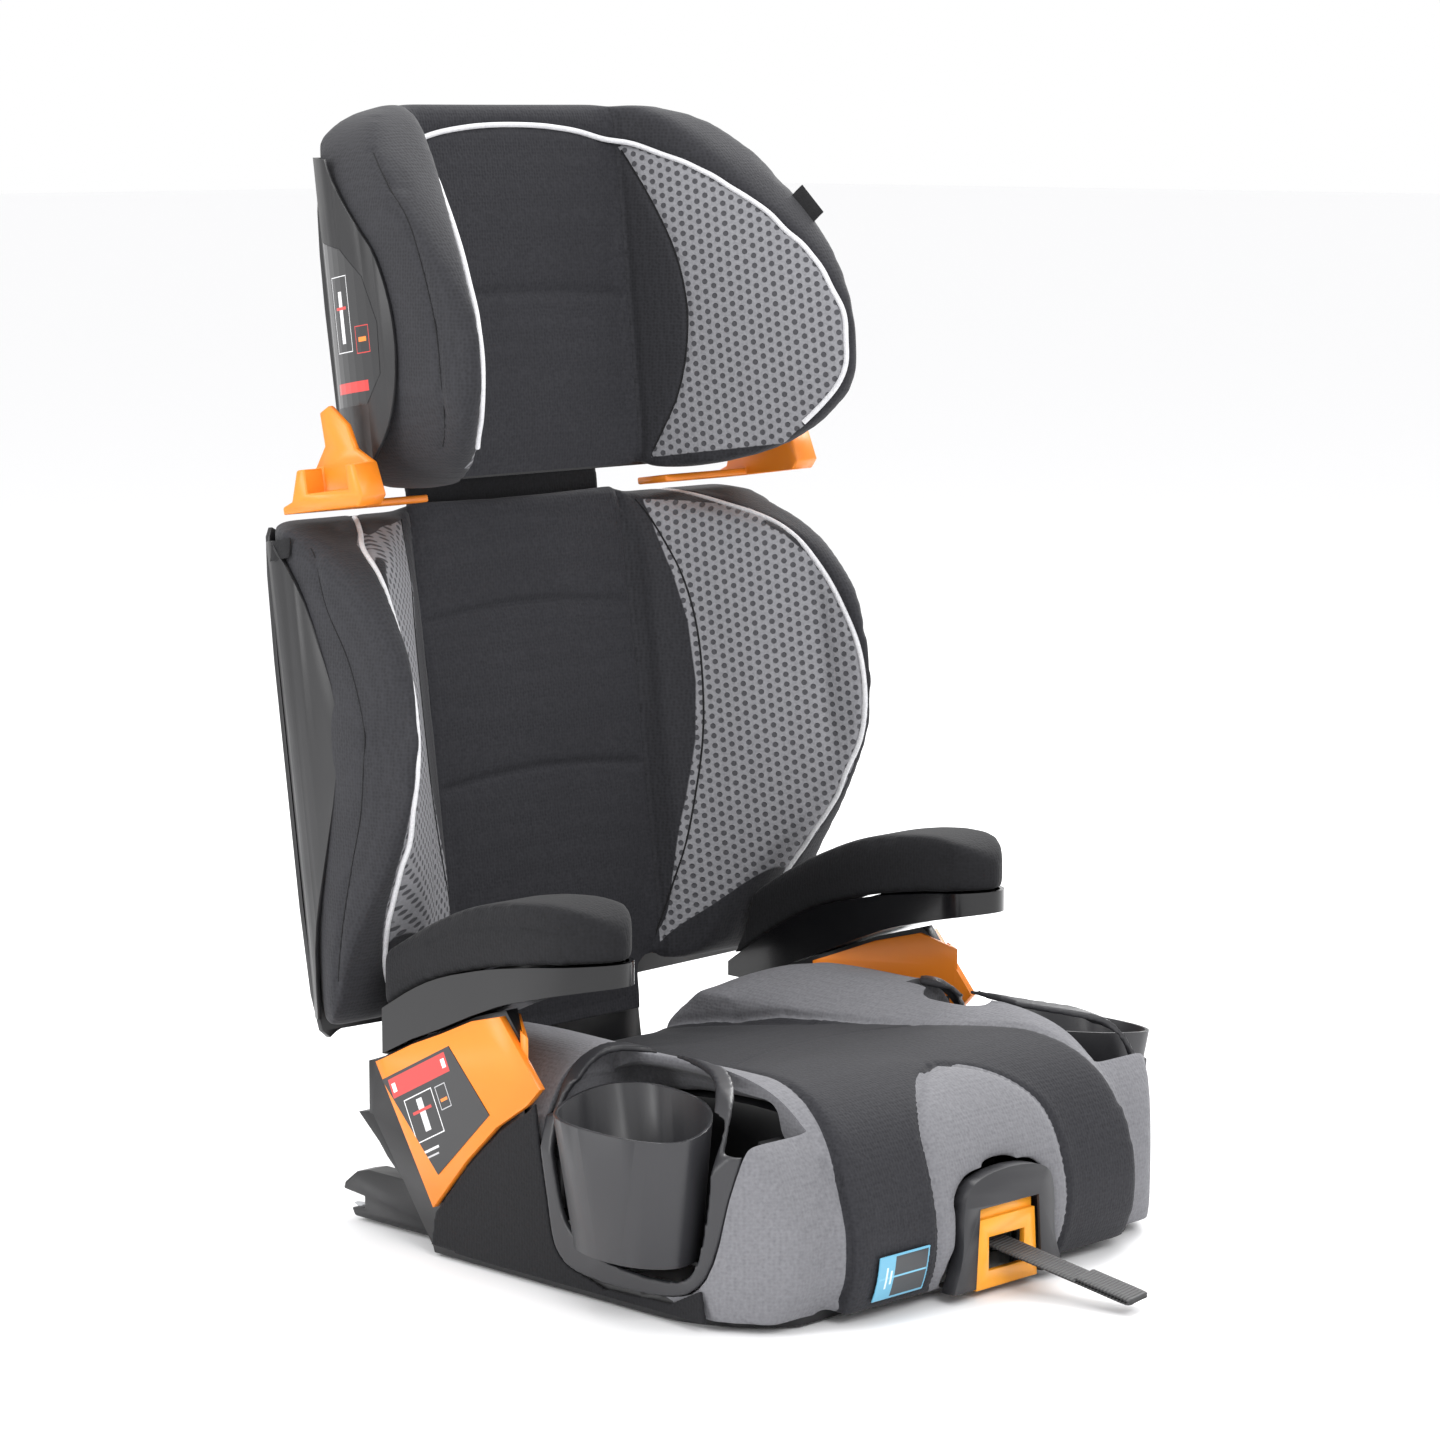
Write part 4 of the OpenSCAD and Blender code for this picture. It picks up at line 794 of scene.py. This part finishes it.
# padded armrest tops
armrestSettings = {"voxel": 0.0035, "rounding": 4, "cap": 0.002, "shrink": 0.0003, "pressure": 2}
for side, sign in sides.items():
    node = f"armrest_pad_{side.lower()}"
    pad = softPart(node, f"armrestPad{side}", armrestSettings)
    surface = surfaceOf(pad)
    edge = lineOn(surface, [Vector((sign * 205, y, z)) / 1000 for y, z in (
        (100, 209), (88, 214), (69, 221), (43, 227), (18, 230), (-7, 232), (-36, 232))])
    grooveMesh(pad, [edge], 0.0014, 0.0020)
    finishPiece(pad, "base", blackKnit, "black_fabric", node)
print("armrests ready")

# side skirts, apron and patch: thin fabric, with a voxel for each one's thickness
thinSettings = {"rounding": 2, "cap": 0, "shrink": 0.0, "fine": False}
for side, sign in sides.items():
    node = f"side_skirt_{side.lower()}"
    skirt = softPart(node, f"sideSkirt{side}", {**thinSettings, "voxel": 0.0016})
    finishPiece(skirt, "base", blackKnit, "black_fabric", node)
apron = softPart("head_apron", "headApron", {**thinSettings, "voxel": 0.0020})
finishPiece(apron, "headrest", blackKnit, "black_fabric", "head_apron")
patch = softPart("seat_patch", "seatPatch", {**thinSettings, "voxel": 0.0007})
finishPiece(patch, "base", patchWeave, "patch", "seat_patch")


def strapPiece(name, path, width, thick, across, body, material, slotName, *replaced):
    # flat webbing: a ribbon along a path, its edges bound a little thicker
    across = Vector(across).normalized()
    line = smoothLine(path, 0.0012)
    bm = bmesh.new()
    profile = []
    for k in range(9):
        t = k / 4 - 1
        bound = (1.0 if abs(t) > 0.7 else 0.8) * (0.45 if abs(t) == 1 else 1)
        profile.append((t * width / 2, thick / 2 * bound))
    ring = None
    for i, p in enumerate(line):
        onward = (line[min(i + 1, len(line) - 1)] - line[max(i - 1, 0)]).normalized()
        up = onward.cross(across).normalized()
        rib = 1 + 0.10 * (1 if i % 2 else -1)
        here = [bm.verts.new(p + across * x + up * h * rib) for x, h in profile]
        here += [bm.verts.new(p + across * x - up * h * rib) for x, h in reversed(profile)]
        if ring:
            for a, b, c, d in zip(ring, ring[1:] + ring[:1], here[1:] + here[:1], here):
                bm.faces.new((a, b, c, d))
        else:
            bm.faces.new(here)
        ring = here
    bm.faces.new(list(reversed(ring)))
    bmesh.ops.recalc_face_normals(bm, faces=bm.faces)
    mesh = bpy.data.meshes.new(name)
    bm.to_mesh(mesh)
    bm.free()
    piece = newObject(name, mesh)
    shadeByAngle(piece, 50)
    return finishPiece(piece, body, material, slotName, *replaced)


strap = {"at": (0, -0.206, 0.031), "dip": 13, "yaw": 11, "width": 0.025, "thick": 0.0022, "out": 0.104,
         "inside": 0.125, "fold": 0.040}
dip, yaw = math.radians(strap["dip"]), math.radians(strap["yaw"])


def alongStrap(y, z):  # from the strap's own line to the frame
    p = Vector((0, y * math.cos(dip) - z * math.sin(dip), y * math.sin(dip) + z * math.cos(dip)))
    return Vector(strap["at"]) + Vector((p.x * math.cos(yaw) - p.y * math.sin(yaw),
                                         p.x * math.sin(yaw) + p.y * math.cos(yaw), p.z))


step = strap["thick"]
strapPiece("pullStrap", [alongStrap(strap["inside"], 0), alongStrap(0.02, 0), alongStrap(-0.06, 0),
                         alongStrap(-strap["out"] + 0.004, 0),
                         alongStrap(-strap["out"] + 0.001, step * 0.55),
                         alongStrap(-strap["out"] + 0.004, step * 1.08),
                         alongStrap(-strap["out"] + strap["fold"], step * 1.02)],
           strap["width"], step, (math.cos(yaw), math.sin(yaw), 0), "pull_strap", strapWeb, "webbing",
           "pull_strap")
for side, sign in sides.items():
    low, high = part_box(f"latch_strap_{side.lower()}")
    mid = [(a + b) / 2 for a, b in zip(low, high)]
    strapPiece(f"connectorStrap{side}",
               [Vector((mid[0], low[1], mid[2])), Vector((mid[0], high[1], mid[2]))],
               high[2] - low[2], high[0] - low[0], (0, 0, 1), f"connector_{side.lower()}", latchWeb,
               "webbing", f"latch_strap_{side.lower()}")
print("webbing ready")


def tagPiece(name, at, along, out, size, body):
    # blank woven tag, folded double and sewn in by its lower edge
    along, out = Vector(along).normalized(), Vector(out).normalized()
    tagSide = along.cross(out).normalized()
    bm = bmesh.new()
    bmesh.ops.create_cube(bm, size=1.0)
    bmesh.ops.subdivide_edges(bm, edges=bm.edges, cuts=3, use_grid_fill=True)
    for v in bm.verts:
        u, w, t = v.co.x, v.co.y + 0.5, v.co.z
        v.co = at + along * (u * size[0]) + out * (w * size[1]) + tagSide * (
            t * 0.0012 + 0.0008 * math.sin(w * 2.4))
    mesh = bpy.data.meshes.new(name)
    bm.to_mesh(mesh)
    bm.free()
    piece = newObject(name, mesh)
    soft = piece.modifiers.new("edges", "BEVEL")
    soft.width, soft.segments = 0.0004, 2
    bakeModifiers(piece)
    shadeByAngle(piece, 50)
    return finishPiece(piece, body, tagWeave, "black_fabric")


tagPiece("headTag", leanPoint(174, -158, 604), leanPoint(4, -20, -28) - leanPoint(0, 0, 0),
         leanPoint(12, -8, 12) - leanPoint(0, 0, 0), (0.026, 0.016), "headrest")
tagPiece("backTag", leanPoint(-221, -42, 412), leanPoint(0, -24, 2) - leanPoint(0, 0, 0),
         leanPoint(-4, 0, -16) - leanPoint(0, 0, 0), (0.020, 0.013), "back")
print("trim ready")

# the floor and an even white surround
floorMesh = bpy.data.meshes.new("studioFloor")
bm = bmesh.new()
bmesh.ops.create_grid(bm, x_segments=1, y_segments=1, size=studio["floorSize"])
bm.to_mesh(floorMesh)
bm.free()
floor = newObject("studioFloor", floorMesh)
floorPaint, _, floorSurface, _ = newMaterial("paleFloor", Roughness=0.9)
floorSurface.inputs["Base Color"].default_value = hexColor("#fbfbfc")
floorMesh.materials.append(floorPaint)
world = bpy.data.worlds.new("studioWorld")
world.use_nodes = True
world.node_tree.nodes["Background"].inputs["Color"].default_value = (1, 1, 1, 1)
world.node_tree.nodes["Background"].inputs["Strength"].default_value = studio["worldLight"]
bpy.context.scene.world = world
print("stage ready")
